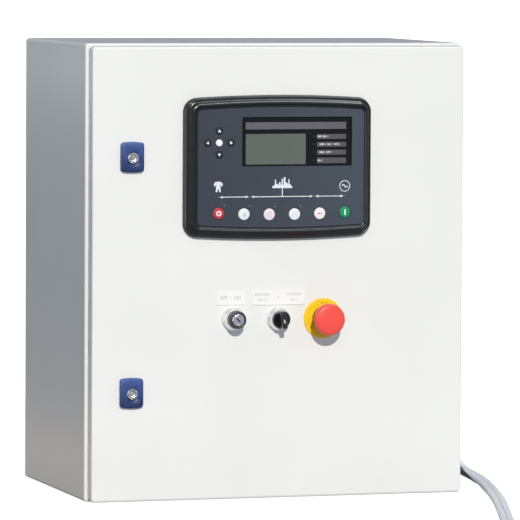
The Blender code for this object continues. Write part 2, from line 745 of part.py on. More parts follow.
def build_lock(door, name, z):
    at = on_door(LOCK_X, z)
    loops = []
    for out, inset in ((SEAT, 0), (0.0040, 0), (0.0052, 0.0007), (LOCK_PLATE_PROUD, 0.0022)):
        outline = bulged_outline(
            LOCK_PLATE[0] - 2 * inset, LOCK_PLATE[1] - 2 * inset, LOCK_PLATE_BULGE,
            0.0035, (LOCK_X, z), 3, 6,
        )
        loops.append([on_door(px, pz, out) for px, pz in outline])
    housing = piece(f"lock_housing_{name}", loft(loops), BLUE_PLASTIC, door)
    barrel = [(LOCK_BARREL_RADIUS, 0.002), (LOCK_BARREL_RADIUS, -0.017)]
    shaped_by(housing, "barrel", turned(barrel, at, OUTWARD), "UNION")
    bore = LOCK_INSERT_RADIUS + SEAT * 1.5
    shaped_by(housing, "bore", turned([(bore, 0.02), (bore, -0.03)], at, OUTWARD))
    nut_bore, near, far = LOCK_BARREL_RADIUS + SEAT, -SHEET - SEAT, -SHEET - SEAT - 0.005
    hexagon = turned([(LOCK_NUT_RADIUS, near), (LOCK_NUT_RADIUS, far)], at, OUTWARD, 6)
    nut = piece(f"lock_nut_{name}", hexagon, ZINC, door)
    shaped_by(nut, "bore", turned([(nut_bore, 0.01), (nut_bore, -0.02)], at, OUTWARD))

    turn = body(f"lock_{name}_axis", at, door)
    cam_front = FRONT + SHEET + 0.0015
    cam_rear = cam_front + CAM_SHEET
    shank = DOOR_FRONT - cam_front + SEAT
    insert = piece(
        f"lock_insert_{name}",
        turned(
            [(LOCK_INSERT_RADIUS - 0.001, LOCK_PLATE_PROUD + 0.0012),
             (LOCK_INSERT_RADIUS, LOCK_PLATE_PROUD), (LOCK_INSERT_RADIUS, shank)],
            at, OUTWARD,
        ),
        CHROME, turn,
    )
    half = CAM_SQUARE / 2
    tail = box(
        (LOCK_X - half, cam_front - 0.002, z - half), (LOCK_X + half, cam_rear + 0.003, z + half)
    )
    shaped_by(insert, "square_tail", tail, "UNION")
    recess = turned([(0.0045, 0.02), (0.0045, LOCK_PLATE_PROUD - 0.003)], at, OUTWARD, 20)
    shaped_by(insert, "key_recess", recess)
    top = DOOR_FRONT - LOCK_PLATE_PROUD
    bit = box((LOCK_X - 0.0011, top, z - 0.0035), (LOCK_X + 0.0011, top + 0.0035, z + 0.0035))
    shaped_by(insert, "double_bit", bit, "UNION")
    left, right, low, ease = LOCK_X - CAM_WIDTH / 2, LOCK_X + CAM_WIDTH / 2, z - CAM_LENGTH, 0.003
    outline = [
        (left, z), (left, low + ease), (left + ease, low), (right - ease, low),
        (right, low + ease), *arc((LOCK_X, z), CAM_WIDTH / 2, 0, 160, 8),
    ]
    cam = piece(f"lock_cam_{name}", extruded_y(outline, cam_front, cam_rear), ZINC, turn)
    half += SEAT
    hole = box(
        (LOCK_X - half, cam_front - 0.01, z - half), (LOCK_X + half, cam_rear + 0.01, z + half)
    )
    shaped_by(cam, "square_hole", hole)


# Controller


def fascia_centre():
    return CONTROLLER_X + FASCIA_OFFSET[0], CONTROLLER_Z + FASCIA_OFFSET[1]


def arrow_key_places():
    x, z = CONTROLLER_X + ARROW_KEY_OFFSET[0], CONTROLLER_Z + ARROW_KEY_OFFSET[1]
    return {
        name: (x + dx * ARROW_KEY_PITCH[0], z + dz * ARROW_KEY_PITCH[1])
        for name, (dx, dz) in ARROW_KEYS.items()
    }


def mode_key_places():
    x, z = CONTROLLER_X + MODE_KEY_OFFSET[0], CONTROLLER_Z + MODE_KEY_OFFSET[1]
    middle = (len(MODE_KEYS) - 1) / 2
    return {
        name: (x + (i - middle) * MODE_KEY_PITCH, z + MODE_KEY_RISE * ((i - middle) / middle) ** 2)
        for i, name in enumerate(MODE_KEYS)
    }


def build_controller(door):
    steps, across = 4, 10
    fx, fz = fascia_centre()
    rim = bulged_outline(BEZEL_WIDTH, BEZEL_CORNER_HEIGHT, BEZEL_BULGE, BEZEL_CORNER_RADIUS,
                         (CONTROLLER_X, CONTROLLER_Z), steps, across)
    hole = bulged_outline(FASCIA_SIZE[0] + 2 * SEAT, FASCIA_SIZE[1] + 2 * SEAT, FASCIA_BULGE,
                          FASCIA_CORNER_RADIUS + SEAT, (fx, fz), steps, across)

    def between(share, out):
        return [
            on_door(a + (c - a) * share, b + (d - b) * share, out)
            for (a, b), (c, d) in zip(rim, hole)
        ]

    loops = [between(share, out) for share, out in ((0, SEAT), *BEZEL_STEPS, (1, SEAT))]
    piece("controller_bezel", loft(loops, closed=True), BLACK_PLASTIC, door)
    outline = bulged_outline(*FASCIA_SIZE, FASCIA_BULGE, FASCIA_CORNER_RADIUS, (fx, fz),
                             steps, across)
    fascia_back = DOOR_FRONT - FASCIA_PROUD + FASCIA_SHEET
    fascia = piece(
        "controller_fascia", extruded_y(outline, DOOR_FRONT - FASCIA_PROUD, fascia_back),
        FASCIA_GREY, door,
    )
    keys = [(place, ARROW_KEY_RADIUS, 16) for place in arrow_key_places().values()]
    keys += [(place, MODE_KEY_RADIUS, 24) for place in mode_key_places().values()]
    holes = [
        turned([(radius + SEAT, 0.02), (radius + SEAT, 0.0)], on_door(*place), OUTWARD, count)
        for place, radius, count in keys
    ]
    shaped_by(fascia, "key_holes", merged(holes))
    dx, dz = CONTROLLER_X + DISPLAY_OFFSET[0], CONTROLLER_Z + DISPLAY_OFFSET[1]
    wide, high = DISPLAY_SIZE[0] / 2, DISPLAY_SIZE[1] / 2
    window = rounded_outline(dx - wide, dx + wide, dz - high, dz + high, 0.0015, 2)
    shaped_by(fascia, "window", extruded_y(window, DOOR_FRONT - 0.02, DOOR_FRONT))
    wide, high = wide - SEAT, high - SEAT
    window = rounded_outline(dx - wide, dx + wide, dz - high, dz + high, 0.0013, 2)
    piece(
        "display_window",
        extruded_y(window, DOOR_FRONT - FASCIA_PROUD + SEAT, fascia_back), DISPLAY_BLACK, door,
    )
    build_controller_keys(door)
    build_controller_case(door, fx, fz)


def build_controller_keys(door):
    bottom = CASE_FRONT + KEY_TRAVEL_ROOM
    top = FASCIA_PROUD + KEY_PROUD
    sized = [(arrow_key_places(), ARROW_KEY_RADIUS, 16), (mode_key_places(), MODE_KEY_RADIUS, 24)]
    for places, radius, count in sized:
        for name, place in places.items():
            slide = body(name + "_slide", on_door(*place), door)
            profile = [(radius, bottom), (radius, top - 0.0005), (radius - 0.0007, top)]
            cap = turned(profile, on_door(*place), OUTWARD, count)
            piece(name, cap, KEY_FINISHES.get(name, WHITE_PLASTIC), slide)


def build_controller_case(door, fx, fz):
    half_x, half_z = CASE_SIZE[0] / 2, CASE_SIZE[1] / 2

    def ring(inset, out):
        outline = rounded_outline(fx - half_x + inset, fx + half_x - inset, fz - half_z + inset,
                                  fz + half_z - inset, 0.003, 2)
        return [on_door(x, z, out) for x, z in outline]

    step = 0.012
    piece(
        "controller_case",
        loft([
            ring(0, CASE_FRONT), ring(0, -CASE_BEHIND + 0.013), ring(0.001, -CASE_BEHIND + 0.012),
            ring(step, -CASE_BEHIND + 0.012), ring(step, -CASE_BEHIND + 0.0015),
            ring(step + 0.0015, -CASE_BEHIND),
        ]),
        BLACK_PLASTIC, door,
    )


# Key switch, selector and emergency stop


def device_ring(device, front_profile):
    """A turned device body: shank through the door, flange on it and a head in front."""
    profile = [
        (DEVICE_SHANK_RADIUS, -DEVICE_SHANK_BEHIND), (DEVICE_SHANK_RADIUS, SEAT), *front_profile
    ]
    return turned(profile, on_door(*DEVICES[device]), OUTWARD, 24)


def tapered_ring(head):
    return [
        (RING_RADIUS, SEAT), (RING_RADIUS, 0.0046), (RING_RADIUS - 0.0010, 0.0062),
        (head + 0.0010, 0.0094), (head + 0.0004, RING_PROUD),
    ]


def build_key_switch(door):
    top = KEY_SWITCH_PROUD
    bore = KEY_BARREL_RADIUS + SEAT
    piece(
        "key_switch_body",
        device_ring("key_switch", [
            *tapered_ring(KEY_HEAD_RADIUS), (KEY_HEAD_RADIUS, RING_PROUD),
            (KEY_HEAD_RADIUS, top - 0.0012), (KEY_HEAD_RADIUS - 0.0012, top),
            (bore + 0.0009, top), (bore, top - 0.0009), (bore, 0.004),
        ]),
        CHROME, door,
    )
    at = DEVICES["key_switch"]
    place = on_door(*at)
    turn = body("key_switch_axis", place, door)
    barrel = piece(
        "key_switch_barrel",
        turned(
            [(KEY_BARREL_RADIUS, 0.004 + SEAT), (KEY_BARREL_RADIUS, top + 0.0004),
             (KEY_BARREL_RADIUS - 0.0012, top + 0.0014)],
            place, OUTWARD, 24,
        ),
        CHROME, turn,
    )
    width, length, depth = KEY_SLOT
    outline = bar_outline(at, width, length, KEY_SLOT_DEG)
    slot = extruded_y(outline, place.y - top - 0.01, place.y - top + depth)
    shaped_by(barrel, "key_slot", slot)


def build_selector(door):
    place = on_door(*DEVICES["selector"])
    seat = RING_PROUD - 0.003
    piece(
        "selector_body",
        device_ring("selector", [
            *tapered_ring(HEAD_RADIUS), (HEAD_RADIUS - 0.001, RING_PROUD),
            (HEAD_RADIUS - 0.001, seat),
        ]),
        CHROME, door,
    )
    turn = body("selector_axis", place, door)
    hub = HEAD_RADIUS - 0.001 - SEAT
    knob = piece(
        "selector_knob",
        turned(
            [(hub, seat + SEAT), (hub, RING_PROUD + SEAT), (HEAD_RADIUS, RING_PROUD + SEAT),
             (HEAD_RADIUS, SELECTOR_HUB_PROUD - 0.001), (HEAD_RADIUS - 0.001, SELECTOR_HUB_PROUD)],
            place, OUTWARD, 24,
        ),
        BLACK_PLASTIC, turn,
    )
    lean = math.radians(SELECTOR_REST_DEG)
    half_x, half_z = SELECTOR_GRIP[0] / 2, SELECTOR_GRIP[1] / 2
    loops = []
    for out, inset in ((SELECTOR_HUB_PROUD - 0.0015, 0.0), (SELECTOR_PROUD - 0.0012, 0.0006),
                       (SELECTOR_PROUD, 0.0014)):
        outline = rounded_outline(
            -half_x + inset, half_x - inset, -half_z + inset, half_z - inset, 0.0018 - inset, 3,
        )
        loops.append([
            place + Vector((px * math.cos(lean) - pz * math.sin(lean), -out,
                            px * math.sin(lean) + pz * math.cos(lean)))
            for px, pz in outline
        ])
    shaped_by(knob, "grip", loft(loops), "UNION")


def build_emergency_stop(door):
    place = on_door(*DEVICES["estop"])
    hole = DEVICE_SHANK_RADIUS + SEAT
    piece(
        "estop_disc",
        turned(
            [(hole, SEAT), (ESTOP_DISC_RADIUS, SEAT),
             (ESTOP_DISC_RADIUS, ESTOP_DISC_PROUD - 0.0008),
             (ESTOP_DISC_RADIUS - 0.0012, ESTOP_DISC_PROUD), (hole, ESTOP_DISC_PROUD)],
            place, OUTWARD, 36, closed=True,
        ),
        YELLOW_PLASTIC, door,
    )
    stem_bore = ESTOP_STEM_RADIUS + SEAT
    bottom = -0.008
    base = ESTOP_DISC_PROUD + SEAT
    profile = [
        (DEVICE_SHANK_RADIUS, -DEVICE_SHANK_BEHIND), (DEVICE_SHANK_RADIUS, base),
        (ESTOP_COLLAR_RADIUS, base), (ESTOP_COLLAR_RADIUS, ESTOP_COLLAR_PROUD - 0.002),
        (ESTOP_COLLAR_RADIUS - 0.002, ESTOP_COLLAR_PROUD), (stem_bore, ESTOP_COLLAR_PROUD),
        (stem_bore, bottom),
    ]
    piece("estop_body", turned(profile, place, OUTWARD, 24), BLACK_PLASTIC, door)
    slide = body("estop_slide", place, door)
    socket = ESTOP_HEAD_BACK + 0.005
    piece(
        "estop_plunger",
        turned(
            [(ESTOP_STEM_RADIUS, bottom + ESTOP_TRAVEL + 0.001), (ESTOP_STEM_RADIUS, socket)],
            place, OUTWARD, 24,
        ),
        BLACK_PLASTIC, slide,
    )
    twist = body("estop_twist", place, slide)
    edge, back, front = ESTOP_HEAD_RADIUS, ESTOP_HEAD_BACK, ESTOP_HEAD_PROUD
    piece(
        "estop_head",
        turned(
            [(stem_bore, socket + SEAT), (stem_bore, back), (edge - 0.004, back),
             (edge - 0.0010, back + 0.0040), (edge, back + 0.0060), (edge, front - 0.0042),
             (edge - 0.0008, front - 0.0024), (edge - 0.0028, front - 0.0012),
             (edge * 0.5, front - 0.0002), (edge * 0.12, front)],
            place, OUTWARD, 32,
        ),
        RED_PLASTIC, twist,
    )


def build_contact_blocks(door):
    width, height, depth = CONTACT_BLOCK
    start = DEVICE_SHANK_BEHIND + SEAT
    half = [
        (start, height / 2), (start + 0.010, height / 2), (start + 0.010, height / 2 - 0.003),
        (start + depth - 0.008, height / 2 - 0.003), (start + depth, height / 2 - 0.011),
    ]
    for name, (x, z) in DEVICES.items():
        outline = [(DOOR_FRONT + d, z + h) for d, h in mirrored(half)]
        block = extruded_x(outline, x - width / 2, x + width / 2)
        piece(f"{name}_contact_block", block, GREY_PLASTIC, door)


# What stands on the mounting plate


RAIL_HEIGHT_ABOVE_BASE = CABINET_HEIGHT / 2 + PLATE_SIZE[1] / 2 - RAIL_FROM_TOP
BREAKER_X = BREAKER_FROM_RAIL_END - RAIL_LENGTH / 2
RELAY_X = BREAKER_X + (BREAKER_WIDTH + RELAY_WIDTH) / 2 + RELAY_GAP


def on_plate(outline, z, stand_off=0.0):
    """A side outline of (distance in front of the plate, height) as (y, z) points."""
    return [(PLATE_FRONT - SEAT - stand_off - depth, z + height) for depth, height in outline]


def on_rail(outline):
    """A side outline of (distance in front of the rail, height) as (y, z) points."""
    return on_plate(outline, RAIL_HEIGHT_ABOVE_BASE, RAIL_DEPTH + SEAT)


def mirrored(half):
    """A side outline from its upper half, listed from back to front."""
    return [*half, *[(depth, -height) for depth, height in half[::-1]]]


def build_rail():
    brim, waist, thick = RAIL_HEIGHT / 2, RAIL_HEIGHT / 2 - 0.005, RAIL_SHEET
    half = [
        (0.0, waist), (RAIL_DEPTH - thick, waist), (RAIL_DEPTH - thick, brim), (RAIL_DEPTH, brim),
        (RAIL_DEPTH, waist - thick), (thick, waist - thick),
    ]
    outline = on_plate(mirrored(half), RAIL_HEIGHT_ABOVE_BASE)
    piece("din_rail", extruded_x(outline, -RAIL_LENGTH / 2, RAIL_LENGTH / 2), GALVANISED)


def build_breaker():
    left, right = BREAKER_X - BREAKER_WIDTH / 2, BREAKER_X + BREAKER_WIDTH / 2
    outline = on_rail(mirrored(BREAKER_PROFILE))
    breaker = piece("circuit_breaker", extruded_x(outline, left, right), WHITE_PLASTIC)
    pivot = Vector((BREAKER_X, *on_rail([(TOGGLE_PIVOT_DEPTH, 0.0)])[0]))
    half_width = TOGGLE_WIDTH / 2
    room = half_width + SEAT
    hub_room = TOGGLE_HUB_RADIUS + SEAT
    socket = turned([(hub_room, -room), (hub_room, room)], pivot, (1, 0, 0))
    shaped_by(breaker, "toggle_socket", socket)
    mouth = box(
        (BREAKER_X - room, pivot.y - 0.02, pivot.z - 0.0130),
        (BREAKER_X + room, pivot.y - 0.0010, pivot.z + 0.0130),
    )
    shaped_by(breaker, "toggle_mouth", mouth)
    turn = body("breaker_toggle_axis", pivot)
    hub = [(TOGGLE_HUB_RADIUS, -half_width), (TOGGLE_HUB_RADIUS, half_width)]
    toggle = piece("breaker_toggle", turned(hub, pivot, (1, 0, 0)), BLACK_PLASTIC, turn)
    lift = math.radians(TOGGLE_REST_DEG)
    along = Vector((0, -math.cos(lift), math.sin(lift)))
    side = Vector((0, math.sin(lift), math.cos(lift)))
    lever = [
        pivot + along * reach + side * offset
        for reach, offset in ((0.002, -0.0022), (TOGGLE_LEVER, -0.0016),
                              (TOGGLE_LEVER, 0.0016), (0.002, 0.0022))
    ]
    outline = [(point.y, point.z) for point in lever]
    grip = extruded_x(outline, left + 0.012, right - 0.012)
    shaped_by(toggle, "lever", grip, "UNION")


def build_relay():
    outline = on_rail(mirrored(RELAY_PROFILE))
    relay = extruded_x(outline, RELAY_X - RELAY_WIDTH / 2, RELAY_X + RELAY_WIDTH / 2)
    piece("control_relay", relay, GREY_PLASTIC)


def build_charger():
    x, z = CHARGER_X, RAIL_HEIGHT_ABOVE_BASE - CHARGER_BELOW_RAIL
    width, height, depth = CHARGER_SIZE
    half = [
        (0.0, height / 2 + 0.010), (0.002, height / 2 + 0.010), (0.002, height / 2),
        (depth - 0.002, height / 2), (depth, height / 2 - 0.002),
    ]
    outline = on_plate(mirrored(half), z)
    charger = piece(
        "battery_charger", extruded_x(outline, x - width / 2, x + width / 2), GALVANISED
    )
    front = on_plate([(depth, 0.0)], z)[0][0]
    grooves = []
    for i in range(CHARGER_GROOVES):
        low = z + (i - (CHARGER_GROOVES - 1) / 2) * CHARGER_GROOVE_PITCH
        reach = width * 0.36
        grooves.append(
            box((x - reach, front - 0.005, low), (x + reach, front + 0.002, low + 0.003))
        )
    shaped_by(charger, "vents", merged(grooves))


def build_terminal_strip():
    x, z = STRIP_X, RAIL_HEIGHT_ABOVE_BASE - STRIP_BELOW_RAIL
    height, depth = STRIP_SIZE
    length = STRIP_WAYS * STRIP_PITCH + STRIP_BARRIER
    left = x - length / 2
    half = [(0.0, height / 2), (depth, height / 2)]
    strip = piece(
        "terminal_strip", extruded_x(on_plate(mirrored(half), z), left, left + length),
        BLACK_PLASTIC,
    )
    front, floor = on_plate([(depth, 0.0), (depth * 0.5, 0.0)], z)
    ways = []
    for i in range(STRIP_WAYS):
        start = left + STRIP_BARRIER + i * STRIP_PITCH
        end = start + STRIP_PITCH - STRIP_BARRIER
        for side in (-1, 1):
            near, far = z + side * 0.0015, z + side * (height / 2 + 0.002)
            ways.append(
                box((start, front[0] - 0.002, min(near, far)), (end, floor[0], max(near, far)))
            )
    shaped_by(strip, "ways", merged(ways))


# Gland and cables


def build_gland():
    centre = (CABINET_WIDTH / 2, GLAND_Y, GLAND_Z)
    axis = (1, 0, 0)
    hex_end = SEAT + GLAND_HEX_LENGTH
    thread_end = hex_end + DOME_NUT_LENGTH * 0.6
    hexagon = [(GLAND_HEX_RADIUS, SEAT), (GLAND_HEX_RADIUS, hex_end)]
    gland = piece("cable_gland", turned(hexagon, centre, axis, 6), GREY_PLASTIC)
    thread = [(GLAND_THREAD_RADIUS, -SHEET - LOCKNUT_HEIGHT - 0.004),
              (GLAND_THREAD_RADIUS, thread_end)]
    shaped_by(gland, "thread", turned(thread, centre, axis), "UNION")
    bore = 2 * CABLE_RADIUS + 0.001
    shaped_by(gland, "passage", turned([(bore, -0.05), (bore, 0.05)], centre, axis))
    start = hex_end + SEAT
    end = start + DOME_NUT_LENGTH
    clear = GLAND_THREAD_RADIUS + SEAT
    nut = [
        (clear, thread_end + 2 * SEAT), (clear, start), (DOME_NUT_RADIUS, start),
        (DOME_NUT_RADIUS, end - 0.007), (DOME_NUT_RADIUS - 0.0012, end - 0.003),
        (DOME_NUT_RADIUS - 0.0042, end),
    ]
    piece("gland_dome_nut", turned(nut, centre, axis), GREY_PLASTIC)
    near = -SHEET - SEAT
    hexagon = [(LOCKNUT_RADIUS, near), (LOCKNUT_RADIUS, near - LOCKNUT_HEIGHT)]
    locknut = piece("gland_locknut", turned(hexagon, centre, axis, 6), GREY_PLASTIC)
    shaped_by(locknut, "bore", turned([(clear, -0.05), (clear, 0.05)], centre, axis))


def pair_route(side):
    """One cable of the pair: above or below its fellow at the gland, beside it on the floor."""
    route = []
    places = [Vector(place) + CABLE_SHIFT for place, _ in PAIR_ROUTE]
    for i, (_, share) in enumerate(PAIR_ROUTE):
        before, after = places[max(i - 1, 0)], places[min(i + 1, len(places) - 1)]
        ahead = (after - before).normalized()
        left = Vector((-ahead.y, ahead.x, 0)).normalized()
        above = ahead.cross(left)
        angle = math.pi / 2 * (1 - share)
        across = left * math.cos(angle) + above * math.sin(angle)
        route.append(places[i] + across * (side * CABLE_SPACING / 2))
    return route


def coil_entry(centre, heading):
    """The end of a cable that runs onto its coil's outer turn, clear of the coil's solid."""
    turn_radius = COIL_RADIUS + COIL_SECTION / 2
    outer, inner_side = COIL_RADIUS + COIL_SECTION + SEAT, turn_radius - CABLE_RADIUS
    short = math.sqrt(outer ** 2 - inner_side ** 2)
    x = centre[0] + heading[1] * turn_radius - heading[0] * short
    y = centre[1] - heading[0] * turn_radius - heading[1] * short
    return (x, y)


def build_cables():
    for name, cable in CABLES.items():
        route = pair_route(cable["side"])
        height = PAIR_ROUTE[-1][0][2]
        floor = [*cable["tail"], coil_entry(cable["coil"], cable["heading"])]
        route += [Vector((x, y, height)) + CABLE_SHIFT for x, y in floor]
        build_cable(f"cable_{name}", smooth_route(route, CABLE_POINT_STEP))
        coil = Vector(cable["coil"]) + CABLE_SHIFT.xy
        build_coil(f"cable_{name}_coil", coil)


def build_cable(name, points):
    curve = bpy.data.curves.new(name, "CURVE")
    curve.dimensions = "3D"
    curve.bevel_depth = CABLE_RADIUS
    curve.bevel_resolution = 2
    curve.use_fill_caps = True
    spline = curve.splines.new("POLY")
    spline.points.add(len(points) - 1)
    for knot, point in zip(spline.points, points):
        knot.co = (*point, 1.0)
    curve.materials.append(material(name, CABLE_GREY))
    bpy.context.collection.objects.link(bpy.data.objects.new(name, curve))


def build_coil(name, centre):
    """The outer shape of the turns that each cable's spare length lies in."""
    inner, outer, ease = COIL_RADIUS - COIL_SECTION, COIL_RADIUS + COIL_SECTION, 0.002
    low = 0.0002
    profile = [
        (inner, low + ease), (inner + ease, low), (outer - ease, low), (outer, low + ease),
        (outer, COIL_HEIGHT - ease), (outer - ease, COIL_HEIGHT),
        (inner + ease, COIL_HEIGHT), (inner, COIL_HEIGHT - ease),
    ]
    piece(name, turned(profile, (*centre, 0), (0, 0, 1), 32, closed=True), CABLE_GREY)


def main():
    for existing in list(bpy.data.objects):
        bpy.data.objects.remove(existing, do_unlink=True)
    build_cabinet()
    build_mounting_plate()
    build_rail()
    build_breaker()
    build_relay()
    build_charger()
    build_terminal_strip()
    build_gland()
    build_cables()
    build_hinge_brackets()
    door = body("door_axis", (HINGE_X, HINGE_Y, 0))
    build_door(door)
    build_hinge_leaves(door)
    build_locks(door)
    build_controller(door)
    build_key_switch(door)
    build_selector(door)
    build_emergency_stop(door)
    build_contact_blocks(door)


main()
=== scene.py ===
"""Dressed model of a wall cabinet with a genset controller on its door.

Metres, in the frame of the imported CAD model: +Z up, the door faces -Y, origin in the middle of the
cabinet's base. Pieces replace CAD nodes with finer ones of the same profile, or add prints and
fasteners to them.
"""

import math

import bmesh
import bpy
from mathutils import Matrix, Vector


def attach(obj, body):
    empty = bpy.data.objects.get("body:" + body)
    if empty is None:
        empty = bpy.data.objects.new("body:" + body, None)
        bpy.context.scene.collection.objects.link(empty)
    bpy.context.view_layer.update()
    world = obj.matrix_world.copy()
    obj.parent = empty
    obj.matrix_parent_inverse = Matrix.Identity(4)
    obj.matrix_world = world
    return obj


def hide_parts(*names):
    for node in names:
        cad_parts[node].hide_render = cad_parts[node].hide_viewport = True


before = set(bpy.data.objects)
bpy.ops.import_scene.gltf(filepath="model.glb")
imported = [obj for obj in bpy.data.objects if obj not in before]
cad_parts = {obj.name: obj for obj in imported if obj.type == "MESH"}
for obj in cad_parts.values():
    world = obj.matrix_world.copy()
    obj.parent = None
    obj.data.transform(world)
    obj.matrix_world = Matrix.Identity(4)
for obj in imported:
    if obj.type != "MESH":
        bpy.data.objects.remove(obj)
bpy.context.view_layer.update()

# Shared with the CAD source.
SEAT = 0.0003
DOOR_FRONT = -0.170
DOOR_SHEET = 0.0015
CONTROLLER = (-0.0036, 0.4225)
BEZEL_WIDTH = 0.2494
BEZEL_CORNER_HEIGHT = 0.1754
BEZEL_BULGE = 0.0045
BEZEL_CORNER_RADIUS = 0.0170
FASCIA_CENTRE = (0.0004, 0.4229)
FASCIA_SIZE = (0.2208, 0.1454)
FASCIA_BULGE = 0.0038
FASCIA_PROUD = 0.0068
CASE_SIZE = (0.2150, 0.1420)
CASE_BEHIND = 0.0400
KEY_BOTTOM = 0.0040
KEY_TOP = 0.0078
MODE_KEY_RADIUS = 0.0075
MODE_KEY_PITCH = 0.0336
MODE_KEY_OFFSET = (0.0051, -0.0595)
MODE_KEY_RISE = 0.0020
MODE_KEYS = ("key_stop", "key_manual", "key_test", "key_auto", "key_mute", "key_start")
ARROW_KEY_RADIUS = 0.0045
ARROW_KEY_PITCH = (0.0154, 0.0150)
ARROW_KEY_OFFSET = (-0.0784, 0.0318)
ARROW_KEYS = {
    "key_up": (0, 1),
    "key_down": (0, -1),
    "key_left": (-1, 0),
    "key_right": (1, 0),
    "key_enter": (0, 0),
}
DEVICES = {
    "key_switch": (-0.0605, 0.2306), "selector": (-0.0005, 0.2296), "estop": (0.0590, 0.2296),
}
DEVICE_SHANK_RADIUS = 0.0109
RING_PROUD = 0.0125
HEAD_RADIUS = 0.0116
KEY_HEAD_RADIUS = 0.0112
LEGEND_HEIGHT = 0.2572
LEGEND_FACE = 0.0011
LOCK_X = -0.1944
LOCK_HEIGHTS = {"upper": 0.436, "lower": 0.138}
CAM_REAR = -0.1445
PLATE_FRONT = 0.1180
STUD_PLACES = [(x, z) for x in (-0.205, 0.205) for z in (0.050, 0.530)]
RAIL_Z = 0.360
BREAKER_X = -0.090
RELAY_X = -0.030
CHARGER = (0.110, 0.190)
STRIP = (-0.090, 0.170)
GLAND = (0.250, 0.115, 0.034)
CABLE_RADIUS = 0.00425
CABLE_SPACING = 0.0091
CABLE_HEIGHT = 0.0045
TURN_RADII = (0.0519, 0.0431)
TURN_HEIGHTS = (0.0045, 0.0133)
OUTWARD = (0, -1, 0)
INWARD = (0, 1, 0)
FOUR_CORNERS = ((-1, -1), (-1, 1), (1, -1), (1, 1))


# The camera and the cables come first.


def place_camera():
    forward = Vector((0.2968, 0.95261, -0.06668)).normalized()
    right = forward.cross(Vector((0.01435, 0.06537, 0.99776))).normalized()
    up = right.cross(forward)
    data = bpy.data.cameras.new("camera")
    data.lens = 336.04
    data.sensor_width = 36.0
    data.clip_start = 0.1
    data.clip_end = 400.0
    camera = bpy.data.objects.new("camera", data)
    turn = Matrix((right, up, -forward)).transposed().to_4x4()
    camera.matrix_world = Matrix.Translation((-1.8546, -6.0417, 0.7159)) @ turn
    bpy.context.collection.objects.link(camera)
    bpy.context.scene.camera = camera


# The middle of the cable pair, and how far the pair has turned from one above the other (0) to
# side by side (1).
PAIR_ROUTE = (
    ((0.2780, 0.1150, 0.0340), 0.00),
    ((0.2860, 0.1150, 0.0339), 0.00),
    ((0.2985, 0.1128, 0.0322), 0.08),
    ((0.3098, 0.1060, 0.0287), 0.22),
    ((0.3182, 0.0955, 0.0238), 0.40),
    ((0.3233, 0.0825, 0.0181), 0.58),
    ((0.3256, 0.0688, 0.0127), 0.76),
    ((0.3260, 0.0550, 0.0083), 0.90),
    ((0.3254, 0.0415, 0.0057), 0.98),
    ((0.3243, 0.0280, 0.0047), 1.00),
    *(((x, y, CABLE_HEIGHT), 1.00) for x, y in (
        (0.3217, 0.0023), (0.3145, -0.0475), (0.3023, -0.1096), (0.2909, -0.1566),
        (0.2786, -0.2060), (0.2560, -0.2894), (0.2260, -0.3882), (0.1930, -0.4922),
        (0.1812, -0.5290),
    )),
)
CABLES = {
    "outer": {
        "side": 1,
        "tail": ((0.1800, -0.5560), (0.1900, -0.5780), (0.2080, -0.5890), (0.2300, -0.5905)),
        "coil": (0.3050, -0.5386),
        "heading": (1.0, 0.0),
        "length": 1.93,
        "ties": (100, 215, 335),
    },
    "inner": {
        "side": -1,
        "tail": ((0.1690, -0.5560), (0.1640, -0.5850)),
        "coil": (0.2140, -0.6560),
        "heading": (0.0, -1.0),
        "length": 1.88,
        "ties": (60, 170, 320),
    },
}


def pair_route(side):
    """One cable of the pair: above or below its fellow at the gland, beside it on the floor."""
    route = []
    places = [Vector(place) for place, _ in PAIR_ROUTE]
    for i, (_, share) in enumerate(PAIR_ROUTE):
        before, after = places[max(i - 1, 0)], places[min(i + 1, len(places) - 1)]
        ahead = (after - before).normalized()
        left = Vector((-ahead.y, ahead.x, 0)).normalized()
        above = ahead.cross(left)
        angle = math.pi / 2 * (1 - share)
        across = left * math.cos(angle) + above * math.sin(angle)
        route.append(places[i] + across * (side * CABLE_SPACING / 2))
    return route


def smooth_route(points, step):
    """Points along a smooth curve through the given ones, about a step apart."""
    points = [Vector(p) for p in points]
    ends = [2 * points[0] - points[1], *points, 2 * points[-1] - points[-2]]
    fine = [points[0]]
    for before, start, end, after in zip(ends, ends[1:], ends[2:], ends[3:]):
        for i in range(1, 13):
            t = i / 12
            fine.append(
                0.5 * (2 * start + (end - before) * t
                       + (2 * before - 5 * start + 4 * end - after) * t * t
                       + (3 * start - before - 3 * end + after) * t ** 3)
            )
    length = sum((b - a).length for a, b in zip(fine, fine[1:]))
    count = max(2, round(length / step))
    spaced, walked, goal = [fine[0]], 0.0, length / count
    for a, b in zip(fine, fine[1:]):
        hop = (b - a).length
        while walked + hop >= goal and len(spaced) < count:
            spaced.append(a + (b - a) * ((goal - walked) / hop))
            goal += length / count
        walked += hop
    return [*spaced, fine[-1]]


def eased(value, start, end):
    """0 before start, 1 after end, and a smooth rise between them."""
    t = min(max((value - start) / (end - start), 0.0), 1.0)
    return t * t * (3 - 2 * t)


def coil_point(centre, heading, degrees, rise=0.0, offset=0.0):
    """A point of a coil's turns: two side by side on the floor, and two on those."""
    outer, inner = TURN_RADII
    inward = eased(degrees, 270, 355) - eased(degrees, 905, 990)
    radius = outer + (inner - outer) * inward + offset
    low, high = TURN_HEIGHTS
    height = low + (high - low) * eased(degrees, 610, 660) + rise
    angle = math.atan2(-heading[0], heading[1]) + math.radians(degrees)
    return Vector((
        centre[0] + radius * math.cos(angle), centre[1] + radius * math.sin(angle), height,
    ))


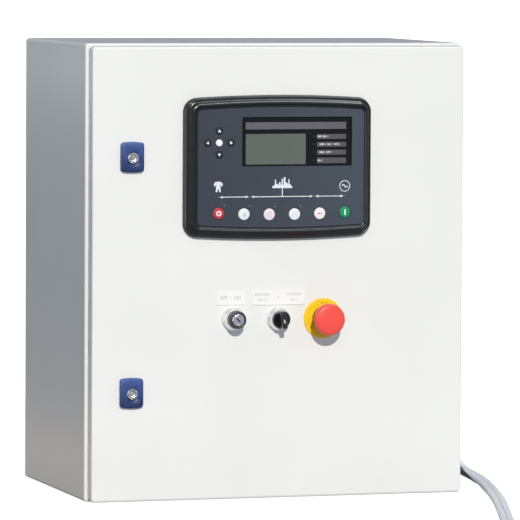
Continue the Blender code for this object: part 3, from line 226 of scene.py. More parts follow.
def tube(name, points, radius, material, body="cabinet", sides=3):
    curve = bpy.data.curves.new(name, "CURVE")
    curve.dimensions = "3D"
    curve.bevel_depth = radius
    curve.bevel_resolution = sides
    curve.resolution_u = 5
    curve.use_fill_caps = True
    spline = curve.splines.new("BEZIER")
    spline.bezier_points.add(len(points) - 1)
    for knot, point in zip(spline.bezier_points, points):
        knot.co = point
        knot.handle_left_type = knot.handle_right_type = "AUTO"
    curve.materials.append(material)
    made = bpy.data.objects.new(name, curve)
    bpy.context.collection.objects.link(made)
    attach(made, body)
    return made


COIL_END = 1265
CORES = {"brown": (0.0, 0.0), "blue": (-0.0026, -0.0004), "earth": (0.0026, -0.0004)}


def lay_cable(name, cable):
    """A cable from the gland along the floor onto its coil, with three bare cores at its end."""
    centre, heading = cable["coil"], cable["heading"]
    route = pair_route(cable["side"])
    route.insert(0, route[0] - Vector((0.0080, 0, 0)))
    foot = coil_point(centre, heading, 0)
    route += [Vector((x, y, CABLE_HEIGHT)) for x, y in cable["tail"]]
    near = foot - Vector((*heading, 0)) * 0.024
    free = smooth_route([*route, near, foot], 0.0225)
    turns = [coil_point(centre, heading, d) for d in range(15, COIL_END, 15)]
    turns.append(coil_point(centre, heading, COIL_END))
    whole = tube(f"cable_{name}_sheath", [*free, *turns], CABLE_RADIUS, sheath_material(), sides=4)
    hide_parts(f"cable_{name}", f"cable_{name}_coil")
    pieces = []
    for colour, (offset, drop) in CORES.items():
        core = []
        for i in range(8):
            share = i / 7
            reach = COIL_END - 3 + 22 * share
            rise = (drop - 0.0031) * eased(share, 0.0, 0.55)
            core.append(
                coil_point(centre, heading, reach, rise, offset * (0.55 + 0.45 * share))
            )
        pieces.append(
            tube(f"cable_{name}_core_{colour}", core, 0.00120, moulded(f"core_{colour}"), sides=2)
        )
        ferrule = [core[-1] + (core[-1] - core[-2]).normalized() * reach
                   for reach in (-0.0010, 0.0035, 0.0080)]
        pieces.append(tube(f"cable_{name}_ferrule_{colour}", ferrule, 0.00085, zinc(), sides=2))
    if name == "inner":
        # Painted shadow: a black skin on the inner cable where the pair rises from the floor.
        pieces.append(shadow_wedge(f"cable_{name}_painted_shadow", free[:14], 0.022, 0.122, 0.235))
    for number, degrees in enumerate(cable["ties"]):
        pieces.append(coil_tie(f"cable_{name}_tie_{number}", centre, math.radians(degrees)))
    return whole, pieces


def shadow_wedge(name, points, start, short, long):
    """Painted shadow: a thin black skin round a cable, cut off at a long slant."""
    path = smooth_route(points, 0.004)
    step = (path[1] - path[0]).length
    walls = ([], [])
    for row in range(81):
        for wall, radius in zip(walls, (CABLE_RADIUS + 0.0004, CABLE_RADIUS + 0.0001)):
            loop = []
            for k in range(24):
                angle = 2 * math.pi * k / 24
                # The skin reaches furthest along the lower side, where the painted shadow lies.
                slant = (0.5 + 0.5 * math.cos(angle - math.radians(135))) ** 1.5
                reach = (start + (short + (long - short) * slant - start) * row / 80) / step
                i = min(int(reach), len(path) - 2)
                ahead = (path[i + 1] - path[i]).normalized()
                up = (Vector((0, 0, 1)) - ahead * ahead.z).normalized()
                out = up * math.cos(angle) + ahead.cross(up) * math.sin(angle)
                point = path[i].lerp(path[i + 1], reach - i) + out * radius
                loop.append((point.x, point.y, max(point.z, 0.0001)))
            wall.append(loop)
    outer, inner = walls
    return piece(name, loft([*outer, *inner[::-1]], closed=True), moulded("tie_and_shadow_black"), "cabinet")


def coil_tie(name, centre, angle):
    """A narrow nylon band round all four turns, with its head on top."""
    out = Vector((math.cos(angle), math.sin(angle), 0))
    along = Vector((-out.y, out.x, 0))
    inner, outer = TURN_RADII[1] - CABLE_RADIUS, TURN_RADII[0] + CABLE_RADIUS
    low, high = TURN_HEIGHTS[0] - CABLE_RADIUS, TURN_HEIGHTS[1] + CABLE_RADIUS
    wraps = []
    for gap in (0.00006, 0.00022):
        outline = rounded_outline(inner - gap, outer + gap, low - gap, high + gap, 0.004, 6)
        wraps.append([Vector((*centre, 0)) + out * r + Vector((0, 0, z)) for r, z in outline])
    tight, loose = wraps
    half = along * 0.0018
    loops = [
        [p - half for p in tight], [p - half for p in loose],
        [p + half for p in loose], [p + half for p in tight],
    ]
    band = loft(loops, closed=True)
    middle = Vector((*centre, high)) + out * (inner + outer) / 2
    head = []
    for rise, inset in ((0.0001, 0.0), (0.0018, 0.0), (0.0023, 0.0006)):
        head.append([
            middle + out * (x * (0.0030 - inset)) + along * (y * (0.0026 - inset))
            + Vector((0, 0, rise))
            for x, y in ((-1, -1), (1, -1), (1, 1), (-1, 1))
        ])
    tail = middle + out * 0.0030
    strip = [
        [tail + along * (y * 0.0016) + Vector((0, 0, z)) + out * reach
         for y, z in ((-1, 0.0004 + lift), (1, 0.0004 + lift), (1, 0.0010 + lift),
                      (-1, 0.0010 + lift))]
        for reach, lift in ((0.0, 0.0), (0.0040, 0.0006), (0.0072, 0.0003))
    ]
    return piece(name, merged([band, loft(head), loft(strip)]), moulded("tie_and_shadow_black"), "cabinet")


# Mesh building


def loft(loops, closed=False):
    """A solid through loops of one count: capped at both ends, or joined last to first."""
    shape = bmesh.new()
    rows = [[shape.verts.new(point) for point in loop] for loop in loops]
    pairs = list(zip(rows, rows[1:]))
    if closed:
        pairs.append((rows[-1], rows[0]))
    for near, far in pairs:
        for i, corner in enumerate(near):
            j = (i + 1) % len(near)
            shape.faces.new((corner, near[j], far[j], far[i]))
    if not closed:
        shape.faces.new(rows[0][::-1])
        shape.faces.new(rows[-1])
    return shape


def merged(shapes):
    whole = bmesh.new()
    for shape in shapes:
        mesh = bpy.data.meshes.new("part")
        shape.to_mesh(mesh)
        shape.free()
        whole.from_mesh(mesh)
        bpy.data.meshes.remove(mesh)
    return whole


def turned(profile, centre, segments=64, axis=OUTWARD, closed=False, corners=0):
    """A turned solid, or one with flats, whose profile is (radius, distance along axis)."""
    axis = Vector(axis)
    across = Vector((0, 0, 1)) if abs(axis.z) < 0.5 else Vector((1, 0, 0))
    other = axis.cross(across)
    loops = []
    for radius, along in profile:
        loop = []
        for i in range(segments):
            angle = 2 * math.pi * i / segments
            reach = radius
            if corners:
                half = math.pi / corners
                reach = radius * math.cos(half) / math.cos(angle % (2 * half) - half)
            out = across * math.cos(angle) + other * math.sin(angle)
            loop.append(Vector(centre) + axis * along + out * reach)
        loops.append(loop)
    return loft(loops, closed)


def nut(centre, axis, radius, bore, start, end, segments=36):
    """A hexagonal nut with eased corners and a round bore."""
    eased_radius, ease = radius * 0.90, 0.0007
    loops = []
    for reach, along, corners in (
        (bore, start, 0), (eased_radius, start, 0), (radius, start + ease, 6),
        (radius, end - ease, 6), (eased_radius, end, 0), (bore, end, 0),
    ):
        prism = turned([(reach, along), (reach, along + 1)], centre, segments, axis,
                       corners=corners)
        prism.verts.ensure_lookup_table()
        loops.append([v.co.copy() for v in prism.verts[:segments]])
        prism.free()
    return loft(loops, closed=True)


def box(low, high):
    (x0, y0, z0), (x1, y1, z1) = low, high
    foot = [(x0, y0, z0), (x1, y0, z0), (x1, y1, z0), (x0, y1, z0)]
    return loft([foot, [(x, y, z1) for x, y, _ in foot]])


def arc(centre, radius, start, end, steps):
    angles = [math.radians(start + (end - start) * i / steps) for i in range(steps + 1)]
    return [(centre[0] + radius * math.cos(a), centre[1] + radius * math.sin(a)) for a in angles]


def rounded_outline(left, right, bottom, top, radius, steps=6):
    corners = (
        ((right - radius, bottom + radius), -90),
        ((right - radius, top - radius), 0),
        ((left + radius, top - radius), 90),
        ((left + radius, bottom + radius), 180),
    )
    outline = []
    for centre, start in corners:
        outline += arc(centre, radius, start, start + 90, steps)
    return outline


def subdivided(outline, steps, across):
    """A rounded rectangle's outline with extra points along its top and bottom."""
    finer = []
    for i, point in enumerate(outline):
        finer.append(point)
        after = outline[(i + 1) % len(outline)]
        if i in (2 * steps + 1, 4 * steps + 3):
            for k in range(1, across):
                finer.append((point[0] + (after[0] - point[0]) * k / across, point[1]))
    return finer


def bulged_outline(width, height, bulge, radius, centre, steps=10, across=36):
    """A rounded rectangle whose top and bottom edges are shallow arcs."""
    plain = rounded_outline(-width / 2, width / 2, -height / 2, height / 2, radius, steps)
    outline = []
    for x, z in subdivided(plain, steps, across):
        swell = bulge * (1 - (2 * x / width) ** 2) * (2 * z / height)
        outline.append((centre[0] + x, centre[1] + z + swell))
    return outline


def on_door(x, z, out=0.0):
    """A point in front of the door's face, or behind it where out is negative."""
    return Vector((x, DOOR_FRONT - out, z))


def flat(outlines, low, high, place=(0.0, 0.0)):
    """Thin plates parallel to the door, from (x, z) outlines about a place."""
    return merged([
        loft([[on_door(place[0] + x, place[1] + z, out) for x, z in outline]
              for out in (low, high)])
        for outline in outlines
    ])


def stroke(points, width):
    """The outline of a line of some width through (x, z) points."""
    sides = ([], [])
    for i, (x, z) in enumerate(points):
        x0, z0 = points[max(i - 1, 0)]
        x1, z1 = points[min(i + 1, len(points) - 1)]
        length = math.hypot(x1 - x0, z1 - z0)
        nx, nz = -(z1 - z0) / length * width / 2, (x1 - x0) / length * width / 2
        sides[0].append((x + nx, z + nz))
        sides[1].append((x - nx, z - nz))
    return sides[0] + sides[1][::-1]


def bar(x0, x1, z0, z1):
    return [(x0, z0), (x1, z0), (x1, z1), (x0, z1)]


def leaned(points, degrees):
    """(x, z) points turned about their middle."""
    cos, sin = math.cos(math.radians(degrees)), math.sin(math.radians(degrees))
    return [(x * cos - z * sin, x * sin + z * cos) for x, z in points]


def slab(bounds, levels):
    """A rounded plate over the door's face, from (inset, height, corner radius) levels."""
    left, right, bottom, top = bounds
    loops = []
    for inset, out, radius in levels:
        outline = rounded_outline(
            left + inset, right - inset, bottom + inset, top - inset, radius, 4
        )
        loops.append([on_door(x, z, out) for x, z in outline])
    return loft(loops)


def ring(place, inner, outer, low, high, segments=48):
    profile = [(inner, low), (outer, low), (outer, high), (inner, high)]
    return turned(profile, on_door(*place), segments, closed=True)


def piece(name, shape, material, body="door", replaces=(), sharp=35):
    bmesh.ops.recalc_face_normals(shape, faces=shape.faces)
    mesh = bpy.data.meshes.new(name)
    shape.to_mesh(mesh)
    shape.free()
    mesh.shade_smooth()
    mesh.set_sharp_from_angle(angle=math.radians(sharp))
    mesh.materials.append(material)
    made = bpy.data.objects.new(name, mesh)
    bpy.context.collection.objects.link(made)
    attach(made, body)
    if replaces:
        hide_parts(*replaces)
    return made


def heads(name, places, profile, body="door", axis=OUTWARD, segments=16, material=None):
    """One piece of like screw heads or lamps, turned at each place."""
    shape = merged([turned(profile, place, segments, axis) for place in places])
    return piece(name, shape, material or zinc(), body)


def lettering(name, lines, place, height, material, face=LEGEND_FACE, weight=0.0):
    """Lines of plain capitals centred about a place on a plate or label of the door."""
    shapes = []
    for text, dx, dz in lines:
        curve = bpy.data.curves.new(name, "FONT")
        curve.body = text
        curve.size = height * 1.40
        curve.align_x = "CENTER"
        curve.align_y = "CENTER"
        curve.extrude = 0.00003
        curve.offset = weight
        curve.resolution_u = 3
        made = bpy.data.objects.new(name, curve)
        bpy.context.collection.objects.link(made)
        bpy.context.view_layer.update()
        mesh = bpy.data.meshes.new_from_object(
            made.evaluated_get(bpy.context.evaluated_depsgraph_get())
        )
        shape = bmesh.new()
        shape.from_mesh(mesh)
        stand = Matrix.Rotation(math.pi / 2, 4, "X")
        spot = on_door(place[0] + dx, place[1] + dz, face + 0.00001)
        bmesh.ops.transform(shape, matrix=Matrix.Translation(spot) @ stand, verts=shape.verts)
        shapes.append(shape)
        bpy.data.objects.remove(made, do_unlink=True)
        bpy.data.meshes.remove(mesh)
    return piece(name, merged(shapes), material)


# Shading


class Wire:
    """An output socket of a node tree, with arithmetic."""

    def __init__(self, tree, socket=None):
        self.tree = tree
        self.socket = socket

    def node(self, kind, inputs, out=0, **settings):
        made = self.tree.nodes.new(kind)
        for key, value in settings.items():
            setattr(made, key, value)
        for key, value in inputs.items():
            if isinstance(value, Wire):
                self.tree.links.new(value.socket, made.inputs[key])
            else:
                made.inputs[key].default_value = value
        return Wire(self.tree, made.outputs[out])

    def math(self, operation, other=0.0):
        return self.node("ShaderNodeMath", {0: self, 1: other}, operation=operation)

    def __add__(self, other):
        return self.math("ADD", other)

    def __sub__(self, other):
        return self.math("SUBTRACT", other)

    def __mul__(self, other):
        return self.math("MULTIPLY", other)


class Finish:
    """A Principled material and the textures that feed it, in the piece's own coordinates."""

    def __init__(self, name, roughness, metallic=0.0, **constants):
        self.material = bpy.data.materials.new(name)
        self.material.use_nodes = True
        tree = self.material.node_tree
        self.shader = tree.nodes["Principled BSDF"]
        self.shader.inputs["Roughness"].default_value = roughness
        self.shader.inputs["Metallic"].default_value = metallic
        for key, value in constants.items():
            self.shader.inputs[key.replace("_", " ")].default_value = value
        self.wire = Wire(tree)
        self.place = self.wire.node("ShaderNodeTexCoord", {}, out="Object")

    def noise(self, scale, detail=3.0, stretch=(1, 1, 1), distortion=0.0):
        place = self.place
        if stretch != (1, 1, 1):
            place = self.wire.node(
                "ShaderNodeVectorMath", {0: place, 1: stretch}, operation="MULTIPLY"
            )
        return self.wire.node(
            "ShaderNodeTexNoise",
            {"Vector": place, "Scale": scale, "Detail": detail, "Distortion": distortion},
            out="Fac",
        )

    def cells(self, scale, out="Color"):
        return self.wire.node("ShaderNodeTexVoronoi", {"Vector": self.place, "Scale": scale}, out)

    def part(self, axis):
        return self.wire.node("ShaderNodeSeparateXYZ", {0: self.place}, out=axis)

    def ramp(self, value, low, high, start=0.0, end=1.0):
        return self.wire.node(
            "ShaderNodeMapRange", {0: value, 1: low, 2: high, 3: start, 4: end}
        )

    def mix(self, share, first, second):
        colours = [c if isinstance(c, Wire) else (*c, 1.0) for c in (first, second)]
        return self.wire.node(
            "ShaderNodeMix", {0: share, 6: colours[0], 7: colours[1]}, out=2, data_type="RGBA"
        )

    def paint(self, colour):
        self.wire.tree.links.new(colour.socket, self.shader.inputs["Base Color"])

    def rough(self, value):
        self.wire.tree.links.new(value.socket, self.shader.inputs["Roughness"])

    def relief(self, height, distance, strength=1.0):
        bump = self.wire.node(
            "ShaderNodeBump", {"Height": height, "Distance": distance, "Strength": strength}
        )
        self.wire.tree.links.new(bump.socket, self.shader.inputs["Normal"])

    def mottle(self, first, second, scale, detail=4, low=0.35, high=0.7, **more):
        """Two colours in soft patches."""
        share = self.ramp(self.noise(scale, detail, **more), low, high)
        self.paint(self.mix(share, first, second))

    def gloss(self, scale, low, high, detail=3, end=0.7, stretch=(1, 1, 1)):
        """A roughness that wavers between two values."""
        self.rough(self.ramp(self.noise(scale, detail, stretch), 0.3, end, low, high))

    def grain(self, scale, depth, strength, detail=2, stretch=(1, 1, 1)):
        self.relief(self.noise(scale, detail, stretch), depth, strength)


def srgb(red, green, blue):
    """Linear colour of an 8-bit display colour."""
    return tuple(
        v / 12.92 if v <= 0.04045 else ((v + 0.055) / 1.055) ** 2.4
        for v in (red / 255, green / 255, blue / 255)
    )


MADE = {}


def once(build):
    """Keeps each finish, so that pieces share it."""

    def kept(*words):
        key = (build.__name__, *words)
        if key not in MADE:
            MADE[key] = build(*words)
        return MADE[key]

    return kept


def plastic(name, colour, roughness, spread=0.06, grain=900, depth=0.00006, coat=0.0, shine=0.5):
    """Moulded plastic: a faint mottle, a fine spark texture and uneven gloss."""
    finish = Finish(
        name, roughness, Coat_Weight=coat, Coat_Roughness=0.08, Specular_IOR_Level=shine
    )
    deep = tuple(c * (1 - spread) for c in colour)
    pale = tuple(min(c * (1 + spread), 1.0) for c in colour)
    finish.mottle(deep, pale, 45, high=0.65)
    finish.gloss(120, roughness * 0.9, roughness * 1.12)
    finish.grain(grain, depth, 0.6)
    return finish.material


# Colour, roughness, spread of the mottle, grain, its depth, coat and shine.
PLASTICS = {
    "core_brown": (srgb(96, 54, 30), 0.42, 0.08, 1500),
    "core_blue": (srgb(60, 110, 190), 0.42, 0.08, 1500),
    "core_earth": (srgb(110, 160, 50), 0.42, 0.08, 1500),
    # Black of the coil ties, also used for the painted shadow by the gland.
    "tie_and_shadow_black": (srgb(38, 38, 42), 0.42, 0.10, 1800, 0.00004),
    "window_black": (srgb(13, 12, 15), 0.16, 0.12, 500, 0.00002, 0.0, 0.35),
    "collar_grey": (srgb(64, 60, 64), 0.36, 0.10, 900, 0.00005),
    "gloss_black": (srgb(20, 20, 26), 0.16, 0.15, 500, 0.00003, 0.6),
    # Painted shade for the insides of vent slots and the keyway.
    "hole_shade": ((0.008, 0.008, 0.009), 0.7, 0.2),
    "disc_yellow": (srgb(252, 207, 12), 0.42, 0.05, 700, 0.00006),
    "stop_red": (srgb(242, 80, 68), 0.36, 0.04, 600, 0.00006),
    "moulded_grey": (srgb(168, 170, 172), 0.48, 0.05, 800, 0.00008),
    "gland_polyamide": (srgb(150, 153, 156), 0.50, 0.06, 900, 0.00008),
    "breaker_white": (srgb(214, 214, 208), 0.45, 0.04, 800, 0.00008),
    "case_black": (srgb(34, 34, 37), 0.55, 0.12, 600, 0.00012),
    "connector_green": (srgb(46, 132, 74), 0.42, 0.08, 900, 0.00006),
    "engraved_plate": ((0.885, 0.89, 0.885), 0.34, 0.02, 600, 0.00002),
}


@once
def moulded(name):
    return plastic(name, *PLASTICS[name])


@once
def sheath_material():
    finish = Finish("cable_sheath", 0.46)
    finish.mottle(srgb(244, 246, 250), srgb(250, 251, 254), 60)
    finish.gloss(300, 0.40, 0.54)
    finish.grain(1400, 0.00005, 0.7)
    return finish.material


@once
def paint():
    """Light grey powder coat: orange peel, faint clouding, painted shade on top, dust low down."""
    finish = Finish("powder_coat", 0.42)
    cloud = finish.ramp(finish.noise(6, 5), 0.3, 0.7)
    coat = finish.mix(cloud, (0.800, 0.812, 0.804), (0.835, 0.846, 0.838))
    # Painted shade on top: upward faces are mixed almost evenly towards a darker, bluer grey.
    facing = finish.wire.node("ShaderNodeTexCoord", {}, out="Normal")
    upward = finish.wire.node("ShaderNodeSeparateXYZ", {0: facing}, out="Z")
    top_shade_patches = finish.ramp(finish.noise(9, 5), 0.2, 0.7, 0.85)
    painted_top_shade = finish.ramp(upward, 0.7, 1.0) * top_shade_patches
    coat = finish.mix(painted_top_shade, coat, (0.55, 0.56, 0.59))
    dust = finish.ramp(finish.part("Z"), 0.0, 0.10, 0.10, 0.0) * finish.noise(70, 5)
    finish.paint(finish.mix(dust, coat, (0.62, 0.58, 0.52)))
    finish.gloss(35, 0.37, 0.47, 4)
    finish.grain(750, 0.00012, 0.45)
    return finish.material


@once
def galvanised():
    """Zinc spangle: flat crystals of slightly different grey and gloss."""
    finish = Finish("galvanised", 0.4, 0.85)
    crystal = finish.cells(150)
    tone = finish.wire.node("ShaderNodeSeparateColor", {0: crystal}, out="Red")
    finish.paint(finish.mix(tone, (0.57, 0.59, 0.61), (0.65, 0.66, 0.67)))
    finish.rough(finish.ramp(tone, 0.0, 1.0, 0.38, 0.48))
    finish.grain(400, 0.00006, 0.4, 3)
    return finish.material


@once
def zinc():
    """Passivated zinc plating with a faint warm cast in places."""
    finish = Finish("zinc_plate", 0.32, 0.95)
    finish.mottle((0.64, 0.65, 0.66), (0.72, 0.68, 0.58), 90, distortion=0.6)
    finish.gloss(500, 0.24, 0.42)
    finish.grain(1200, 0.00004, 0.5)
    return finish.material


@once
def chrome():
    """Bright plating with fine wiped scratches."""
    finish = Finish("chrome", 0.12, 1.0)
    finish.mottle((0.74, 0.74, 0.75), (0.84, 0.84, 0.85), 200, 3)
    finish.gloss(900, 0.08, 0.20, end=0.75, stretch=(1, 1, 0.1))
    finish.grain(1600, 0.00002, 0.3, stretch=(1, 1, 0.15))
    return finish.material


@once
def foam():
    """Closed-cell polyurethane seal."""
    finish = Finish("seal_foam", 0.85)
    pores = finish.cells(900, "Distance")
    tone = finish.ramp(pores, 0.0, 0.8)
    finish.paint(finish.mix(tone, (0.010, 0.010, 0.011), (0.04, 0.04, 0.042)))
    finish.relief(pores, 0.0003, 0.8)
    return finish.material


@once
def lock_blue(height):
    """Blue cast housing with painted light: paler towards its top, where light falls."""
    finish = Finish("lock_blue", 0.40, Specular_IOR_Level=0.4)
    # Painted light: mixed towards the paler blue higher up, plus random patches.
    up = finish.ramp(finish.part("Z"), height - 0.010, height + 0.018)
    shade = up + (finish.noise(160, 4) - 0.5) * 0.8
    finish.paint(finish.mix(shade, srgb(28, 50, 98), srgb(64, 88, 150)))
    finish.gloss(120, 0.36, 0.46)
    finish.grain(700, 0.00010, 0.6)
    return finish.material


@once
def bezel_black():
    """Satin moulding under a soft coat, with a little dust."""
    finish = Finish(
        "bezel_black", 0.40, Coat_Weight=0.8, Coat_Roughness=0.20, Specular_IOR_Level=0.20
    )
    finish.mottle(srgb(10, 11, 15), srgb(17, 18, 23), 60, 5, 0.45, 0.8)
    finish.gloss(160, 0.32, 0.42, 4)
    finish.grain(600, 0.00005, 0.4)
    return finish.material


@once
def fascia_grey():
    """Textured polyester overlay, printed slate grey, with painted light: paler to the right."""
    finish = Finish("fascia_overlay", 0.50)
    # Painted light: a gradient paler towards the right, with random clouding.
    across = finish.ramp(finish.part("X"), -0.09, 0.10) + (finish.noise(30, 4) - 0.5) * 0.5
    finish.paint(finish.mix(across, srgb(42, 50, 64), srgb(57, 67, 80)))
    finish.gloss(260, 0.42, 0.56)
    finish.relief(finish.cells(2200, "Distance"), 0.00003, 0.6)
    return finish.material


@once
def lcd_glass():
    """Unlit grey-green liquid crystal with its dot rows just visible."""
    finish = Finish("lcd_glass", 0.18, Coat_Weight=0.3, Coat_Roughness=0.03)
    rows = (finish.part("Z") * 4200.0).math("SINE") * 0.5 + 0.5
    columns = (finish.part("X") * 4200.0).math("SINE") * 0.5 + 0.5
    dots = rows * columns
    cloud = finish.mix(
        finish.ramp(finish.noise(14, 3), 0.3, 0.7), srgb(90, 98, 90), srgb(97, 106, 96)
    )
    finish.paint(finish.mix(dots * 0.10, cloud, srgb(66, 75, 70)))
    return finish.material


@once
def label_print(red, green, blue):
    return plastic(f"print_{red}_{green}_{blue}", srgb(red, green, blue), 0.5, 0.04, 700, 0.00002)


@once
def key_cap(red, green, blue):
    """Silicone key under the overlay's clear windows."""
    colour = srgb(red, green, blue)
    return plastic(f"key_{red}_{green}_{blue}", colour, 0.55, 0.04, 800, 0.00004, shine=0.25)


# Controller


def build_bezel():
    outer = bulged_outline(
        BEZEL_WIDTH, BEZEL_CORNER_HEIGHT, BEZEL_BULGE, BEZEL_CORNER_RADIUS, CONTROLLER
    )
    inner = bulged_outline(
        FASCIA_SIZE[0] + 2 * SEAT, FASCIA_SIZE[1] + 2 * SEAT, FASCIA_BULGE, 0.0053, FASCIA_CENTRE
    )
    profile = (
        (0.0, SEAT), (0.0, 0.0019), (0.012, 0.0025), (0.03, 0.0033), (0.06, 0.0044),
        (0.10, 0.0057), (0.14, 0.0066), (0.18, 0.0070), (0.23, 0.0069), (0.28, 0.0065),
        (0.33, 0.0066), (0.38, 0.0071), (0.43, 0.0077), (0.49, 0.0085), (0.55, 0.0092),
        (0.61, 0.0097), (0.67, 0.0099), (0.73, 0.0098), (0.78, 0.0092), (0.82, 0.0083),
        (0.87, 0.0074), (0.93, 0.0071), (1.0, 0.0071), (1.0, SEAT),
    )
    loops = [
        [on_door(a[0] + (b[0] - a[0]) * share, a[1] + (b[1] - a[1]) * share, out)
         for a, b in zip(outer, inner)]
        for share, out in profile
    ]
    piece("bezel_shell", loft(loops, closed=True), bezel_black(), "door",
          ["controller_bezel"], 50)


# Left, right, bottom and top of the window and of what is printed or set in it.
WINDOW = (-0.0516, 0.0944, 0.42425, 0.48675)
LCD = (-0.0471, 0.0336, 0.4260, 0.4659)
TITLE = (-0.0467, 0.0872, 0.4711, 0.4800)
LABELS = ((0.4584, 0.4646), (0.4485, 0.4545), (0.4384, 0.4446), (0.4274, 0.4346))
LABEL_ENDS = (0.0482, 0.0870)
TRAY_FLOOR = 0.0050


def build_display():
    lip, radius = 0.0003, 0.0005
    tray = slab(WINDOW, (
        (0.0005, 0.0034, 0.0012), (0.0005, 0.0062, 0.0012), (0.0006, 0.0065, 0.0012),
        (0.0009, 0.0065, 0.0010), (0.0011, 0.0062, 0.0009), (0.0013, TRAY_FLOOR, 0.0008),
    ))
    piece("display_tray", tray, moulded("window_black"), "door", ["display_window"])
    rim = slab(LCD, [
        (inset, TRAY_FLOOR + rise, radius)
        for inset, rise in ((-lip, 0.00002), (-lip, 0.0004), (0.0002, 0.0004), (0.0005, 0.0001))
    ])
    piece("lcd_frame", rim, moulded("window_black"), "door")
    glass = slab(LCD, [(0.0006, TRAY_FLOOR + rise, radius) for rise in (0.0001, 0.0002)])
    piece("lcd_panel", glass, lcd_glass())
    printed = [(0.0, TRAY_FLOOR + rise, 0.0003) for rise in (0.00003, 0.00016)]
    piece("title_strip", slab(TITLE, printed), label_print(91, 89, 98))
    bars = [slab((*LABEL_ENDS, low, high), printed) for low, high in LABELS]
    piece("alarm_labels", merged(bars), label_print(79, 76, 83))
    middles = [(low + high) / 2 for low, high in LABELS]
    lamps = [dome((LABEL_ENDS[0] - 0.0040, z), TRAY_FLOOR, 0.0012, 0.0008) for z in middles]
    piece("alarm_leds", merged(lamps), label_print(44, 30, 32))
    words = (("OFF  ON  1", 0.0562), ("OFF 0   ON 1   OFF 2", 0.0648), ("ON 0   OFF 1", 0.0596),
             ("ON 1", 0.0526))
    rows = [(text, x, z) for (text, x), z in zip(words, middles)]
    lettering("alarm_lettering", rows, (0.0, 0.0), 0.0021, label_print(240, 240, 244),
              TRAY_FLOOR + 0.00016, 0.00009)


def dome(place, out, radius, rise):
    profile = [(radius, out), (radius * 0.92, out + rise * 0.5), (radius * 0.6, out + rise * 0.9),
               (radius * 0.15, out + rise)]
    return turned(profile, on_door(*place), 20)


def key_places():
    places = {}
    x, z = CONTROLLER[0] + MODE_KEY_OFFSET[0], CONTROLLER[1] + MODE_KEY_OFFSET[1]
    for i, name in enumerate(MODE_KEYS):
        places[name] = (x + (i - 2.5) * MODE_KEY_PITCH, z + MODE_KEY_RISE * ((i - 2.5) / 2.5) ** 2)
    x, z = CONTROLLER[0] + ARROW_KEY_OFFSET[0], CONTROLLER[1] + ARROW_KEY_OFFSET[1]
    for name, (dx, dz) in ARROW_KEYS.items():
        places[name] = (x + dx * ARROW_KEY_PITCH[0], z + dz * ARROW_KEY_PITCH[1])
    return places


def key_radius(name):
    return ARROW_KEY_RADIUS if name in ARROW_KEYS else MODE_KEY_RADIUS


KEY_COLOURS = {
    "key_stop": (186, 58, 76), "key_manual": (232, 236, 240), "key_test": (236, 226, 236),
    "key_auto": (232, 234, 242), "key_mute": (240, 230, 236), "key_start": (30, 140, 94),
    "key_enter": (240, 243, 250), "key_up": (36, 40, 50), "key_down": (36, 40, 50),
    "key_left": (36, 40, 50), "key_right": (36, 40, 50),
}
SYMBOL_COLOURS = {
    "key_stop": (246, 214, 220), "key_start": (206, 240, 222), "key_manual": (206, 212, 214),
    "key_test": (214, 178, 198), "key_auto": (190, 196, 214), "key_mute": (196, 130, 146),
}


def key_symbol(name):
    """Outlines of a key's print, about its middle."""
    if name == "key_start":
        return [rounded_outline(-0.0010, 0.0010, -0.0038, 0.0038, 0.0004, 3)]
    if name == "key_manual":
        fingers = [
            stroke([(x, -0.0006), (x * 1.1, top)], 0.0007)
            for x, top in ((-0.0015, 0.0022), (-0.0005, 0.0030), (0.0005, 0.0031), (0.0015, 0.0024))
        ]
        palm = rounded_outline(-0.0019, 0.0019, -0.0030, -0.0004, 0.0008, 4)
        return [*fingers, palm, stroke([(0.0017, -0.0016), (0.0031, 0.0004)], 0.0008)]
    if name == "key_test":
        return [
            stroke(arc((0, 0), 0.0034, 20, 340, 20), 0.0006),
            stroke([(-0.0016, -0.0014), (0.0016, 0.0016)], 0.0008),
            stroke([(-0.0016, 0.0014), (-0.0004, 0.0003)], 0.0006),
        ]
    if name == "key_auto":
        return [
            stroke(arc((0, 0), 0.0035, -60, 240, 22), 0.0006),
            stroke([(-0.0014, -0.0016), (0.0, 0.0019), (0.0014, -0.0016)], 0.0005),
            bar(-0.0009, 0.0009, -0.0007, -0.0002),
        ]
    if name == "key_mute":
        horn = [(-0.0030, -0.0008), (-0.0018, -0.0008), (-0.0004, -0.0021), (-0.0004, 0.0021),
                (-0.0018, 0.0008), (-0.0030, 0.0008)]
        return [
            horn, stroke([(0.0008, -0.0012), (0.0028, 0.0012)], 0.0006),
            stroke([(0.0008, 0.0012), (0.0028, -0.0012)], 0.0006),
        ]
    dx, dz = ARROW_KEYS[name]
    tip, back, wide = 0.0021, -0.0014, 0.0021
    points = ((tip, 0.0), (back, wide), (back, -wide))
    return [[(dx * a - dz * b, dz * a + dx * b) for a, b in points]]


def build_keys():
    top = KEY_TOP
    printed = top + 0.00001, top + 0.00006
    for name, place in key_places().items():
        radius = key_radius(name)
        cap = turned([
            (radius, KEY_BOTTOM), (radius, top - 0.0010), (radius - 0.0002, top - 0.0006),
            (radius - 0.0005, top - 0.0002), (radius - 0.0009, top), (radius * 0.1, top),
        ], on_door(*place), 48)
        piece(f"{name}_cap_piece", cap, key_cap(*KEY_COLOURS[name]), f"{name}_cap", [name])
        if name == "key_enter":
            continue
        if name == "key_stop":
            symbol = ring(place, 0.0014, 0.0036, *printed)
        else:
            symbol = flat(key_symbol(name), *printed, place)
        ink = label_print(*SYMBOL_COLOURS.get(name, (244, 246, 250)))
        piece(f"{name}_symbol", symbol, ink, f"{name}_cap")


